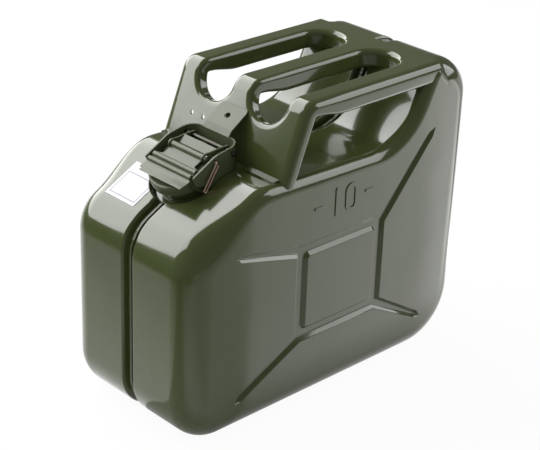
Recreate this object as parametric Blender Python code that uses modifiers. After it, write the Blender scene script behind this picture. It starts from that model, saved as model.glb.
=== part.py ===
"""Ten-litre pressed-steel jerry can with three grips and a cam-lever closure.

The can stands on Z = 0 with its length along X: the filler end is at -X, the plain end at +X.
Depth runs along Y. The origin is the middle of the base.
"""
import math

import bmesh
import bpy
from mathutils import Matrix, Vector

mm = 0.001

# Fit between pieces
clearance = 0.3 * mm
overrun = 4 * mm
smallest = 0.01 * mm
welding_reach = 0.00001 * mm

# Tank
can_length = 345 * mm
can_depth = 165 * mm
can_height = 294 * mm
sheet = 0.8 * mm
hand_drop = 69 * mm
crest_drop = 65 * mm
shoulder_drop = 108 * mm
crest_reach = 80.5 * mm
scoop_reach = 88.5 * mm
block_reach = 56.5 * mm
half_length = can_length / 2
floor_height = can_height - hand_drop
crest_height = can_height - crest_drop
shoulder_height = can_height - shoulder_drop
crest_x = crest_reach - half_length
scoop_x = half_length - scoop_reach
block_x = half_length - block_reach
front_bottom_radius = 41 * mm
rear_bottom_radius = 58 * mm
rear_top_radius = 38 * mm
block_radius = 14 * mm
scoop_radius = 60 * mm
crest_radius = 45 * mm
shoulder_radius = 40 * mm
face_edge_radius = 26 * mm
rear_edge_radius = 22 * mm
top_edge_radius = 12 * mm
arc_step = math.radians(12)

# Seam groove round the middle of the tank
groove_half_width = 6 * mm
groove_depth = 8 * mm
groove_wall = 1.5 * mm
weld_half_width = 1.2 * mm
weld_height = 3.6 * mm

# Pressed channels on the two wide faces
panel_x = 6 * mm
panel_lift = 1.5 * mm
panel_z = crest_height / 2 + panel_lift
panel_width = 84 * mm
panel_height = 71 * mm
channel_width = 13 * mm
channel_floor_width = 6 * mm
channel_depth = 3.2 * mm
channel_mouth = 1 * mm
channel_end_reach = 50.5 * mm
channel_rear_drop = 60 * mm
channel_front_drop = 10 * mm
channel_end_x = half_length - channel_end_reach
channel_top_rear_z = can_height - channel_rear_drop
channel_top_front_z = shoulder_height - channel_front_drop
channel_bottom_z = 36 * mm

# Handle: front plate, three grips and rear bridge
handle_inset = 1.5 * mm
handle_half_width = can_depth / 2 - handle_inset
handle_sheet = 1.1 * mm
plate_foot_reach = 106.5 * mm
plate_lean = 25 * mm
plate_foot_x = plate_foot_reach - half_length
plate_top_x = plate_foot_x + plate_lean
plate_top_radius = 16 * mm
bend_margin = 2 * mm
plate_band = plate_top_radius - bend_margin
handle_band = 18 * mm
handle_edge_radius = 8 * mm
grip_width = 24.5 * mm
grip_depth = 19 * mm
grip_wall = 1.1 * mm
grip_edge_radius = 6 * mm
grip_setback = 6 * mm
slot_edge_radius = 4 * mm
slot_foot_rise = 40 * mm
slot_block_reach = 7 * mm
bridge_lap = 10 * mm
slot_rear_x = block_x - slot_block_reach
bridge_rear_x = block_x + bridge_lap
slot_half = (handle_half_width - 1.5 * grip_width) / 2
slot_place = grip_width / 2 + slot_half
foot_depth = 28 * mm
foot_flange = 7.5 * mm
foot_flange_near = 36 * mm
foot_flange_inset = 8 * mm
plate_hole_places = (35 * mm, 50 * mm)
plate_hole_radius = 2 * mm
plate_hole_rise = 23.5 * mm

# Closure: everything on the filler neck is built square, then tipped with the shoulder
neck_reach = 65.7 * mm
neck_x = neck_reach - half_length
seat_depth = 9 * mm
seat_radius = 31.5 * mm
seat_rim_radius = 33.5 * mm
neck_radius = 24 * mm
neck_wall = 1.5 * mm
neck_top = 7.5 * mm
neck_tail = 15 * mm
neck_lip = 1 * mm
neck_lip_height = 1.6 * mm
collar_radius = 30.5 * mm
collar_sheet = 1.5 * mm
gasket_inner_radius = 19.5 * mm
gasket_outer_radius = 25.4 * mm
gasket_thickness = 2.3 * mm
seal_plate_thickness = 2.6 * mm
seal_boss_drop = 3 * mm
lid_radius = 29.8 * mm
lid_sheet = 1.2 * mm
lid_skirt = 9.5 * mm
lid_round = 2.4 * mm
lid_flat = gasket_outer_radius + clearance

# Yoke: the strap that stands round the closure and carries its hinge
yoke_gap = 0.7 * mm
yoke_sheet = 1.5 * mm
yoke_half_width = lid_radius + yoke_gap + yoke_sheet
yoke_depth = 34.8 * mm
yoke_rear_x = neck_x + yoke_depth
yoke_corner_radius = 13 * mm
yoke_front = -11.6 * mm
yoke_front_low = -5 * mm
yoke_foot_front = 3 * mm
yoke_bend = 17.3 * mm
yoke_front_top = 20.4 * mm
yoke_top = 21 * mm
yoke_waist = 11 * mm
yoke_fall = math.radians(18.2)
yoke_foot = -5.5 * mm
yoke_tab_half_width = 16.5 * mm
yoke_tab_bend = 6.4 * mm
yoke_tab_end = 31.5 * mm
yoke_tab_low = 12 * mm
yoke_tab_high = 15 * mm
yoke_tab_tip = 17.7 * mm
yoke_tab_hole = 18 * mm
yoke_tab_hole_radius = 3 * mm

# Hinge of the cap and pivot of the lever, in the closure's own frame
hinge_x = 34 * mm
hinge_z = 9 * mm
hinge_pin_radius = 2 * mm
pin_head_radius = 3.4 * mm
pin_head_length = 1.4 * mm
pivot_x = 12.3 * mm
pivot_z = 18.4 * mm
pivot_pin_radius = 1.5 * mm
pivot_head_radius = 2.7 * mm
arm_half_width = 22.2 * mm
arm_sheet = 1.5 * mm
ear_radius = 4.2 * mm
bracket_front = 17.5 * mm
bracket_rear = 27 * mm
bracket_rise = 0.3 * mm
arm_rear = 22.5 * mm

# Cam lever
lever_sheet = 1.5 * mm
lever_front = -25.5 * mm
lever_bend = -14 * mm
lever_lift = 2 * mm
lever_z = 18.2 * mm
lever_tab_half_width = 28.8 * mm
cheek_gap = 0.45 * mm
cheek_lap = 0.9 * mm
cheek_place = gasket_outer_radius + cheek_gap + lever_sheet / 2
lever_half_width = cheek_place + cheek_lap
lever_waist_half_width = 20 * mm
lever_waist_front = -1 * mm
lever_rib_radius = 2.8 * mm
lever_ribs = (-10.2 * mm, -4.1 * mm)
lever_notch = 4 * mm
barrel_radius = 3 * mm
cheek_front = -14 * mm
cheek_rear = -1.5 * mm
cheek_throat = -4.4 * mm
cheek_shoulder = 8 * mm
hook_tip = -3.8 * mm
hook_low = -3 * mm
hook_depth = 4 * mm
lug_x = -1 * mm
lug_z = 1 * mm
lug_radius = 2.4 * mm
lug_head_radius = 3.2 * mm
lug_head_length = 1.2 * mm

# Retaining pin, vent tube and label
wire_radius = 0.9 * mm
wire_gap = 3.2 * mm
wire_hole_radius = 1.5 * mm
wire_top_x = 14.5 * mm
wire_top_z = 17 * mm
wire_low_x = -8 * mm
wire_low_z = 4 * mm
wire_reach = 2.2 * mm
vent_radius = 4 * mm
vent_wall = 0.8 * mm
vent_top = 3 * mm
vent_tail = 30 * mm
label_front = -50.2 * mm
label_rear = -9.5 * mm
label_near = 17.5 * mm
label_far = 56.5 * mm
label_thickness = 0.3 * mm
label_gap = 0.1 * mm
label_cut = 1 * mm

olive = (0.060, 0.072, 0.030, 1.0)
white = (0.80, 0.80, 0.80, 1.0)
black = (0.02, 0.02, 0.02, 1.0)
copper = (0.60, 0.30, 0.20, 1.0)
grey = (0.55, 0.55, 0.55, 1.0)


def collection(name):
    group = bpy.data.collections.new(name)
    bpy.context.scene.collection.children.link(group)
    return group


for old in list(bpy.data.objects):
    bpy.data.objects.remove(old, do_unlink=True)
parts = collection("metal_jerry_can")
cutters = collection("cutters")


def material(name, colour, roughness, metallic=0.0):
    made = bpy.data.materials.new(name)
    made.use_nodes = True
    shader = made.node_tree.nodes["Principled BSDF"]
    shader.inputs["Base Color"].default_value = colour
    shader.inputs["Roughness"].default_value = roughness
    shader.inputs["Metallic"].default_value = metallic
    return made


def add_object(name, mesh, group=parts):
    made = bpy.data.objects.new(name, mesh)
    group.objects.link(made)
    if group is cutters:
        made.hide_render = True
        made.display_type = "WIRE"
    return made


def mesh_from(bm, name):
    bmesh.ops.recalc_face_normals(bm, faces=bm.faces)
    mesh = bpy.data.meshes.new(name)
    bm.to_mesh(mesh)
    bm.free()
    return mesh


def evaluated(obj, name):
    """Freeze an object's modifiers, or a curve, into a plain mesh."""
    bpy.context.view_layer.update()
    graph = bpy.context.evaluated_depsgraph_get()
    mesh = bpy.data.meshes.new_from_object(obj.evaluated_get(graph))
    mesh.transform(obj.matrix_world)
    bm = bmesh.new()
    bm.from_mesh(mesh)
    bmesh.ops.remove_doubles(bm, verts=bm.verts, dist=welding_reach)
    bm.to_mesh(mesh)
    bm.free()
    mesh.name = name
    data = obj.data
    bpy.data.objects.remove(obj, do_unlink=True)
    if isinstance(data, bpy.types.Curve):
        bpy.data.curves.remove(data)
    return mesh


def boolean(obj, operation, *others):
    """Join or cut with each other object in turn, and drop the tools."""
    for other in others:
        step = obj.modifiers.new(operation.title(), "BOOLEAN")
        step.operation = operation
        step.object = other
    name = obj.name
    group = obj.users_collection[0]
    mesh = evaluated(obj, name)
    for other in others:
        bpy.data.objects.remove(other, do_unlink=True)
    return add_object(name, mesh, group)


def prism(name, outline, half_thickness, hole=None, group=cutters, turn=None):
    """Flat outline in XY, extruded both ways along Z, then turned."""
    curve = bpy.data.curves.new(name, "CURVE")
    curve.dimensions = "2D"
    curve.fill_mode = "BOTH"
    curve.extrude = half_thickness
    for loop in [outline] + ([hole] if hole else []):
        spline = curve.splines.new("POLY")
        spline.points.add(len(loop) - 1)
        for point, (u, v) in zip(spline.points, loop):
            point.co = (u, v, 0, 1)
        spline.use_cyclic_u = True
    obj = add_object(name, curve, group)
    if turn is not None:
        obj.matrix_world = turn
    return add_object(name, evaluated(obj, name), group)


def on_side(place_y=0.0):
    """Turn an XY outline into the XZ plane at a given Y."""
    return Matrix.Translation((0, place_y, 0)) @ Matrix.Rotation(math.pi / 2, 4, "X")


def cylinder(name, radius, start, end, sides=32, group=cutters):
    start, end = Vector(start), Vector(end)
    bm = bmesh.new()
    bmesh.ops.create_cone(bm, cap_ends=True, segments=sides, radius1=radius, radius2=radius,
                          depth=(end - start).length)
    turn = (end - start).to_track_quat("Z", "Y").to_matrix().to_4x4()
    bm.transform(Matrix.Translation((start + end) / 2) @ turn)
    return add_object(name, mesh_from(bm, name), group)


def box(name, low, high, group=cutters):
    bm = bmesh.new()
    bmesh.ops.create_cube(bm, size=1)
    low, high = Vector(low), Vector(high)
    bm.transform(Matrix.Translation((low + high) / 2) @ Matrix.Diagonal((*(high - low), 1)))
    return add_object(name, mesh_from(bm, name), group)


def turned(name, profile, sides=48, group=parts):
    """Closed (radius, height) profile swept round Z."""
    bm = bmesh.new()
    points = [bm.verts.new((radius, 0, height)) for radius, height in profile]
    for start, end in zip(points, points[1:] + points[:1]):
        bm.edges.new((start, end))
    mesh = bpy.data.meshes.new(name)
    bm.to_mesh(mesh)
    bm.free()
    obj = add_object(name, mesh, group)
    screw = obj.modifiers.new("Screw", "SCREW")
    screw.steps = sides
    screw.render_steps = sides
    screw.use_merge_vertices = True
    screw.merge_threshold = smallest
    swept = evaluated(obj, name)
    bm = bmesh.new()
    bm.from_mesh(swept)
    bmesh.ops.recalc_face_normals(bm, faces=bm.faces)
    bm.to_mesh(swept)
    bm.free()
    return add_object(name, swept, group)


def arc(centre, radius, start, end, steps):
    """Points on an arc, angles in degrees."""
    return [(centre[0] + radius * math.cos(math.radians(start + (end - start) * i / steps)),
             centre[1] + radius * math.sin(math.radians(start + (end - start) * i / steps)))
            for i in range(steps + 1)]


def rounded_outline(corners):
    """Anticlockwise corners (x, z, radius, edge radius) to points with inward normals."""
    points = []
    for i, (x, z, radius, edge) in enumerate(corners):
        here = Vector((x, z))
        before = (here - Vector(corners[i - 1][:2])).normalized()
        after = (Vector(corners[(i + 1) % len(corners)][:2]) - here).normalized()
        turn = before.x * after.y - before.y * after.x
        side = 1 if turn > 0 else -1
        angle = before.angle(after)
        tangent = radius * math.tan(angle / 2)
        centre = here - before * tangent + Vector((-before.y, before.x)) * radius * side
        first = (here - before * tangent) - centre
        steps = max(3, round(angle / arc_step))
        for k in range(steps + 1):
            spoke = first.copy()
            spoke.rotate(Matrix.Rotation(side * angle * k / steps, 2))
            inward = -spoke.normalized() * side
            points.append((centre + spoke, inward, edge))
    return points


def tank_corners():
    half = can_length / 2
    return [(-half, 0, front_bottom_radius, face_edge_radius),
            (half, 0, rear_bottom_radius, face_edge_radius),
            (half, can_height - handle_sheet - clearance, rear_top_radius, rear_edge_radius),
            (block_x, can_height - handle_sheet - clearance, block_radius, top_edge_radius),
            (scoop_x, floor_height, scoop_radius, top_edge_radius),
            (crest_x, crest_height, crest_radius, top_edge_radius),
            (-half, shoulder_height, shoulder_radius, face_edge_radius)]


def skin(name, rings, group=cutters, capped=True):
    """Solid lofted over rings of points, closed by its first and last ring or round in a loop."""
    bm = bmesh.new()
    loops = [[bm.verts.new(point) for point in ring] for ring in rings]
    if not capped:
        loops.append(loops[0])
    count = len(loops[0])
    for inner, outer in zip(loops, loops[1:]):
        for i in range(count):
            j = (i + 1) % count
            bm.faces.new((inner[i], inner[j], outer[j], outer[i]))
    if capped:
        bm.faces.new(loops[0])
        bm.faces.new(loops[-1])
    return add_object(name, mesh_from(bm, name), group)


def tank_ring(outline, y, inset):
    return [(p.x + n.x * inset, y, p.y + n.y * inset) for p, n, edge in outline]


def edge_ring(outline, turn, side, grow=0.0):
    """Ring part of the way round the edge to a wide face; turn runs from 0 to a right angle."""
    ring = []
    for p, n, edge in outline:
        inset = edge * (1 - math.cos(turn)) - grow * math.cos(turn)
        y = can_depth / 2 - edge * (1 - math.sin(turn)) + grow * math.sin(turn)
        ring.append((p.x + n.x * inset, side * y, p.y + n.y * inset))
    return ring


edge_turns = 5
turns = [math.pi / 2 * k / edge_turns for k in range(edge_turns + 1)]


def half_tank(name, group=cutters):
    """Closed half of the tank on the +Y side, with its cap in the seam plane."""
    outline = rounded_outline(tank_corners())
    rings = [tank_ring(outline, clearance / 2, groove_depth),
             tank_ring(outline, groove_half_width - groove_wall, groove_depth),
             tank_ring(outline, groove_half_width, groove_depth - groove_wall),
             tank_ring(outline, groove_half_width + groove_wall / 2, groove_wall / 2),
             tank_ring(outline, groove_half_width + groove_wall, 0)]
    return skin(name, rings + [edge_ring(outline, turn, 1) for turn in turns], group)


def tapered_box(name, length, start_width, floor_width, depth, place, heading, run_out=0.0):
    """Channel cutter: sloped sides, floor at +depth, mouth past the face, optional shallow far end."""
    bm = bmesh.new()
    bmesh.ops.create_cube(bm, size=1)
    slope = (start_width - floor_width) / depth
    for vert in bm.verts:
        along = vert.co.x + 0.5
        deep = vert.co.z > 0
        width = floor_width if deep else start_width + slope * channel_mouth
        reach = depth - run_out * along if deep else -channel_mouth
        if deep and run_out:
            width = floor_width * (1 - along / 2)
        vert.co = (along * length, math.copysign(width / 2, vert.co.y), reach)
    bm.transform(Matrix.Rotation(heading, 4, "Z"))
    bm.transform(Matrix.Translation(place))
    return add_object(name, mesh_from(bm, name), cutters)


def frustum(name, width, height, floor_width, floor_height, top, bottom):
    """Pyramid slab in XY: width by height at -top, floor sizes at +bottom."""
    bm = bmesh.new()
    bmesh.ops.create_cube(bm, size=1)
    for vert in bm.verts:
        deep = vert.co.z > 0
        across = floor_width if deep else width
        tall = floor_height if deep else height
        vert.co = (math.copysign(across / 2, vert.co.x), math.copysign(tall / 2, vert.co.y),
                   bottom if deep else -top)
    return add_object(name, mesh_from(bm, name), cutters)


def face_channels():
    """One cutter for the frame round the panel and the four channels that run to the corners.

    It is made flat, with the face at Z = 0 and the tank at +Z, and X and Y along the face.
    """
    bank = (channel_width - channel_floor_width) / 2
    slope = bank / channel_depth
    spread = 2 * slope * channel_mouth
    outer_width = panel_width + 2 * channel_width
    outer_height = panel_height + 2 * channel_width
    frame = frustum("frame", outer_width + spread, outer_height + spread,
                    outer_width - 2 * bank, outer_height - 2 * bank, channel_mouth, channel_depth)
    island = frustum("island", panel_width - spread, panel_height - spread,
                     panel_width + 2 * bank + spread, panel_height + 2 * bank + spread,
                     channel_mouth, channel_depth + channel_mouth)
    frame = boolean(frame, "DIFFERENCE", island)
    arms = []
    corner_x = outer_width / 2 - channel_width / 2
    corner_z = outer_height / 2 - channel_width / 2
    ends = ((1, 1, channel_top_rear_z), (1, -1, channel_bottom_z),
            (-1, -1, channel_bottom_z), (-1, 1, channel_top_front_z))
    for side_x, side_z, end_z in ends:
        start = Vector((side_x * corner_x, side_z * corner_z))
        end = Vector((side_x * channel_end_x - panel_x, end_z - panel_z))
        run = end - start
        arms.append(tapered_box("arm", run.length, channel_width, channel_floor_width, channel_depth,
                                (start.x, start.y, 0), math.atan2(run.y, run.x), channel_depth * 0.9))
    frame = boolean(frame, "UNION", *arms)
    turn = Matrix.Translation((panel_x, can_depth / 2, panel_z)) @ Matrix.Rotation(math.pi / 2, 4, "X")
    frame.data.transform(turn)
    return frame


closure_tilt = math.atan2(crest_height - shoulder_height, crest_x + can_length / 2)


def closure_matrix():
    """Frame on the shoulder's slope: X up the slope, Z along the neck."""
    neck_z = crest_height + (neck_x - crest_x) * math.tan(closure_tilt)
    return Matrix.Translation((neck_x, 0, neck_z)) @ Matrix.Rotation(-closure_tilt, 4, "Y")


def seat_cutter(name, group=cutters):
    """Round pressed seat that the filler neck stands in."""
    bm = bmesh.new()
    depth = seat_depth + overrun
    bmesh.ops.create_cone(bm, cap_ends=True, segments=40, radius1=seat_radius,
                          radius2=seat_rim_radius + (seat_rim_radius - seat_radius) * overrun / seat_depth,
                          depth=depth)
    bm.transform(Matrix.Translation((0, 0, depth / 2 - seat_depth)))
    bm.transform(closure_matrix())
    return add_object(name, mesh_from(bm, name), group)


def open_at_seam(obj):
    """Take away the cap in the seam plane, so that the half is an open pan."""
    bm = bmesh.new()
    bm.from_mesh(obj.data)
    caps = [f for f in bm.faces if abs(f.normal.y) > 0.99 and f.calc_center_median().y < clearance]
    bmesh.ops.delete(bm, geom=caps, context="FACES")
    bm.to_mesh(obj.data)
    bm.free()


def pan(name):
    """Half of the tank: pressed, embossed, open at the seam, with a hole for the neck."""
    solid = half_tank(name, group=parts)
    solid = boolean(solid, "DIFFERENCE", face_channels(), seat_cutter("seat"))
    open_at_seam(solid)
    wall = solid.modifiers.new("Solidify", "SOLIDIFY")
    wall.thickness = sheet
    wall.offset = -1
    wall.use_even_offset = True
    wall.thickness_clamp = 1.0
    axis_low = closure_matrix() @ Vector((0, 0, -neck_tail - overrun))
    axis_high = closure_matrix() @ Vector((0, 0, neck_top + overrun))
    bore = cylinder("bore", neck_radius + clearance, axis_low, axis_high, 48)
    return boolean(solid, "DIFFERENCE", bore)


far = pan("tank_half_far")
near = add_object("tank_half_near", far.data.copy())
bm = bmesh.new()
bm.from_mesh(near.data)
bm.transform(Matrix.Diagonal((1, -1, 1, 1)))
bmesh.ops.reverse_faces(bm, faces=bm.faces)
bm.to_mesh(near.data)
bm.free()


def seam_weld():
    """Welded flange of the two halves, standing in the groove and stopping at the neck."""
    outline = rounded_outline(tank_corners())
    low = groove_depth - clearance
    high = low - weld_height
    rings = [tank_ring(outline, y, inset) for y, inset in (
        (-weld_half_width, low), (-weld_half_width, high),
        (weld_half_width, high), (weld_half_width, low))]
    weld = skin("seam_weld", rings, parts, capped=False)
    low = closure_matrix() @ Vector((0, 0, -vent_tail - overrun))
    top = closure_matrix() @ Vector((0, 0, neck_tail))
    return boolean(weld, "DIFFERENCE", cylinder("gap", seat_radius, low, top))


seam_weld()


foot = Vector((plate_foot_x, crest_height))
bend = Vector((plate_top_x, can_height))
rise = (bend - foot).normalized()
inward = Vector((rise.y, -rise.x))
lean = rise.angle(Vector((1, 0)))
bend_reach = plate_top_radius * math.tan(lean / 2)
plate_run = (bend - foot).length - bend_reach
roll_run = plate_top_radius * lean
top_start_x = plate_top_x + bend_reach
top_start = plate_run + roll_run
bend_steps = 5
grip_front_x = top_start_x + grip_setback
grip_rear_x = slot_rear_x - slot_half - grip_setback / 2


def bent(along, y, depth):
    """Place on the handle of a point of the flat pressing: way up from the foot, Y and depth."""
    knee = handle_edge_radius
    share = (plate_band - knee) / (handle_band - knee)
    share += (1 - share) * min(1, max(0, (along - top_start) / grip_setback))
    depth = min(depth, knee) + max(0, depth - knee) * share
    if along <= plate_run:
        x, z = foot + rise * along + inward * depth
    elif along < top_start:
        angle = math.pi / 2 + lean - (along - plate_run) / plate_top_radius
        x = top_start_x + (plate_top_radius - depth) * math.cos(angle)
        z = can_height - plate_top_radius + (plate_top_radius - depth) * math.sin(angle)
    else:
        x, z = top_start_x + along - top_start, can_height - depth
    return x, y, z


def stadium(half_width, front, rear, steps=9):
    """Round-ended slot in plan, from the middle of one end's arc to that of the other."""
    return arc((rear, 0), half_width, -90, 90, steps) + arc((front, 0), half_width, 90, 270, steps)


def flat_slab(name, start, end, inset, depth):
    """Handle pressing laid out flat, as a solid: upper edges round, two slots with rolled rims.

    An inset moves all its outer faces inward.
    """
    half = handle_half_width - inset
    radius = handle_edge_radius - inset
    ring = (arc((half - radius, -inset - radius), radius, 0, 90, 3)
            + arc((radius - half, -inset - radius), radius, 90, 180, 3)
            + [(-half, -depth), (half, -depth)])
    slab = skin(name, [[(along, y, z) for y, z in ring] for along in (start, end)])
    front = slot_foot_rise + slot_half
    rear = top_start + slot_rear_x - slot_half - top_start_x
    slots = []
    for side in (-1, 1):
        slots.append(prism("slot", stadium(slot_half + inset, front, rear), can_height / 2,
                           turn=Matrix.Translation((0, side * slot_place, 0))))
    slab = boolean(slab, "DIFFERENCE", *slots)
    bm = bmesh.new()
    bm.from_mesh(slab.data)
    rims = []
    for edge in bm.edges:
        flat = [f for f in edge.link_faces if f.normal.z > 0.99]
        inner = [v for v in edge.verts if abs(v.co.y) < half - grip_width / 2
                 and start + smallest < v.co.x < end - smallest]
        if len(flat) == 1 and len(inner) == 2:
            rims.append(edge)
    bmesh.ops.bevel(bm, geom=rims, offset=slot_edge_radius - inset, segments=2, profile=0.5,
                    affect="EDGES", clamp_overlap=False)
    bpy.data.objects.remove(slab, do_unlink=True)
    return add_object(name, mesh_from(bm, name), cutters)


def pressing(name, start, end, low, high, holes=()):
    """Part of the handle: made flat and hollow from low to high, then bent to the handle's line."""
    shell = flat_slab(name, start, end, 0, handle_band)
    tools = [flat_slab("hollow", low, high, handle_sheet, handle_band + overrun)]
    for along, place in holes:
        tools.append(cylinder("drill", plate_hole_radius, (along, place, -overrun),
                              (along, place, overrun), 16))
    shell = boolean(shell, "DIFFERENCE", *tools)
    bm = bmesh.new()
    bm.from_mesh(shell.data)
    for k in range(bend_steps + 1):
        along = plate_run + roll_run * k / bend_steps
        if start < along < end:
            bmesh.ops.bisect_plane(bm, geom=bm.verts[:] + bm.edges[:] + bm.faces[:], dist=smallest / 10,
                                   plane_co=(along, 0, 0), plane_no=(1, 0, 0))
    for vert in bm.verts:
        vert.co = bent(vert.co.x, vert.co.y, -vert.co.z)
    bpy.data.objects.remove(shell, do_unlink=True)
    return add_object(name, mesh_from(bm, name), cutters)


def tank_form(name, grow, seat=False):
    """Whole outside of the tank without its seam groove, to trim other pieces by."""
    outline = rounded_outline(tank_corners())
    rings = [edge_ring(outline, turn, -1, grow) for turn in turns[::-1]]
    form = skin(name, rings + [edge_ring(outline, turn, 1, grow) for turn in turns])
    if seat:
        form = boolean(form, "DIFFERENCE", seat_cutter("seat"))
    return form


def move_to_parts(obj, name):
    mesh = obj.data
    bpy.data.objects.remove(obj, do_unlink=True)
    mesh.name = name
    return add_object(name, mesh)


plate_end = top_start + grip_setback
plate = pressing("plate", -foot_depth, plate_end, -foot_depth - overrun, plate_end + overrun,
                 [(plate_hole_rise, place) for place in plate_hole_places])
foot_low, foot_high = crest_height - plate_foot_reach / 4, crest_height + foot_flange
for side in (-1, 1):
    flange = tank_form("flange", clearance + handle_sheet)
    across = sorted((side * foot_flange_near, side * (handle_half_width - foot_flange_inset)))
    flange = boolean(flange, "INTERSECT", box(
        "strip", (plate_foot_x - foot_flange, across[0], foot_low),
        (plate_foot_x + handle_sheet * 2, across[1], foot_high)))
    plate = boolean(plate, "UNION", flange)
plate = boolean(plate, "DIFFERENCE", tank_form("form", clearance))
move_to_parts(plate, "handle_front_plate")
bridge_start = top_start + grip_rear_x - top_start_x
bridge_end = top_start + bridge_rear_x - top_start_x
bridge = pressing("bridge", bridge_start, bridge_end, bridge_start - overrun, bridge_end + overrun)
bridge = boolean(bridge, "DIFFERENCE", tank_form("form", clearance))
move_to_parts(bridge, "handle_rear_bridge")


def rounded_rectangle(width, height, radius, steps=3):
    points = []
    for corner_x, corner_y, start in ((1, -1, -90), (1, 1, 0), (-1, 1, 90), (-1, -1, 180)):
        centre = (corner_x * (width / 2 - radius), corner_y * (height / 2 - radius))
        points += arc(centre, radius, start, start + 90, steps)
    return points


def grip(name, place):
    """Closed tube grip between the front plate and the rear bridge."""
    outer = rounded_rectangle(grip_width, grip_depth, grip_edge_radius)
    inner = rounded_rectangle(grip_width - 2 * grip_wall, grip_depth - 2 * grip_wall,
                              grip_edge_radius - grip_wall)
    middle = (grip_front_x + grip_rear_x) / 2
    turn = (Matrix.Translation((middle, place, can_height - grip_depth / 2))
            @ Matrix.Rotation(math.pi / 2, 4, "Z") @ Matrix.Rotation(math.pi / 2, 4, "X"))
    half = (grip_rear_x - grip_front_x) / 2 - clearance
    return prism(name, outer, half, hole=inner, group=parts, turn=turn)


grip_place = handle_half_width - grip_width / 2
grip("grip_near", -grip_place)
grip("grip_middle", 0)
grip("grip_far", grip_place)


def tip(obj):
    """Carry a piece made square to the neck over to the shoulder."""
    obj.data.transform(closure_matrix())
    return obj


def set_origin(obj, place):
    """Put a moving piece's origin on its joint axis, given in the closure's frame."""
    point = closure_matrix() @ Vector(place)
    obj.data.transform(Matrix.Translation(-point))
    obj.location = point


neck = turned("filler_neck", [
    (neck_radius - neck_wall, neck_top), (neck_radius + neck_lip, neck_top),
    (neck_radius + neck_lip, neck_top - neck_lip_height), (neck_radius, neck_top - neck_lip_height),
    (neck_radius, -neck_tail), (neck_radius - neck_wall, -neck_tail)])
tip(neck)
collar_low = -seat_depth + clearance
collar = turned("neck_collar", [
    (neck_radius + clearance, collar_low + 2 * collar_sheet),
    (neck_radius + clearance + collar_sheet, collar_low + 2 * collar_sheet),
    (neck_radius + clearance + collar_sheet, collar_low + collar_sheet),
    (collar_radius, collar_low + collar_sheet), (collar_radius, collar_low),
    (neck_radius + clearance, collar_low)])
tip(collar)

for side, word in ((-1, "near"), (1, "far")):
    start = side * (neck_radius + clearance)
    head = side * (lever_half_width + clearance)
    end = head + side * lug_head_length
    lug = cylinder("neck_lug_" + word, lug_radius, (lug_x, start, lug_z),
                   (lug_x, (head + end) / 2, lug_z), 20, parts)
    lug = boolean(lug, "UNION", cylinder("head", lug_head_radius, (lug_x, head, lug_z),
                                         (lug_x, end, lug_z), 20))
    tip(lug)

vent_place = neck_radius - neck_wall - vent_radius - clearance
vent = turned("vent_tube", [(vent_radius - vent_wall, vent_top), (vent_radius, vent_top),
                            (vent_radius, -vent_tail), (vent_radius - vent_wall, -vent_tail)], 20)
vent.data.transform(Matrix.Translation((vent_place, 0, 0)))
tip(vent)

# Cap: gasket, seal plate, lid and hinge bracket
gasket_low = neck_top + clearance
gasket_top = gasket_low + gasket_thickness
plate_low = gasket_top + clearance
plate_top = plate_low + seal_plate_thickness
lid_under = plate_top + clearance
lid_top = lid_under + lid_sheet
gasket = turned("cap_gasket", [
    (gasket_inner_radius, gasket_top), (gasket_outer_radius, gasket_top),
    (gasket_outer_radius, gasket_low), (gasket_inner_radius, gasket_low)])
boss = gasket_inner_radius - clearance
seal_plate = turned("seal_plate", [
    (0, plate_top), (gasket_outer_radius, plate_top), (gasket_outer_radius, plate_low),
    (boss, plate_low), (boss, plate_low - seal_boss_drop), (0, plate_low - seal_boss_drop)])
lid_low = lid_top - lid_skirt
lid = turned("cap_lid", [(0, lid_top)]
             + arc((lid_radius - lid_round, lid_top - lid_round), lid_round, 90, 0, 4)
             + [(lid_radius, lid_low), (lid_radius - lid_sheet, lid_low)]
             + arc((lid_radius - lid_round, lid_top - lid_round), lid_round - lid_sheet, 0, 90, 3)
             + [(0, lid_under)])
flats = []
for side in (-1, 1):
    far_y = side * (lid_radius + overrun)
    low = (-lid_radius - overrun, min(side * lid_flat, far_y), lid_low - overrun)
    top = (-cheek_throat - cheek_rear, max(side * lid_flat, far_y), lid_top + overrun)
    flats.append(box("flat", low, top))
lid = boolean(lid, "DIFFERENCE", *flats)

base_low = lid_top + bracket_rise
side_plate = ([(arm_rear, base_low)]
              + arc((hinge_x, hinge_z), ear_radius, 215, 395, 9)
              + [(bracket_rear, base_low + arm_sheet)]
              + arc((pivot_x, pivot_z), ear_radius, 20, 220, 10))
bracket = None
for side in (-1, 1):
    ear = prism("ear", side_plate, arm_sheet / 2, turn=on_side(side * (arm_half_width - arm_sheet / 2)))
    if bracket is None:
        bracket = ear
    else:
        bracket = boolean(bracket, "UNION", ear)
inside = arm_half_width - arm_sheet / 2
bracket = boolean(bracket, "UNION", box("base", (bracket_front, -inside, base_low + clearance / 2),
                                        (bracket_rear, inside, base_low + arm_sheet * 0.9)))
for x, z, radius in ((hinge_x, hinge_z, hinge_pin_radius), (pivot_x, pivot_z, pivot_pin_radius)):
    bracket = boolean(bracket, "DIFFERENCE", cylinder(
        "bore", radius + clearance, (x, -can_depth / 2, z), (x, can_depth / 2, z), 24))
bracket = move_to_parts(bracket, "cap_bracket")


def headed_pin(name, radius, head, head_length, place, inner_faces):
    """Pin along Y with a head outside each plate."""
    x, z = place
    pin = cylinder(name, radius, (x, -inner_faces - head_length / 2, z),
                   (x, inner_faces + head_length / 2, z), 24, parts)
    heads = []
    for side in (-1, 1):
        heads.append(cylinder("head", head, (x, side * inner_faces, z),
                              (x, side * (inner_faces + head_length), z), 24))
    return boolean(pin, "UNION", *heads)


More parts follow.
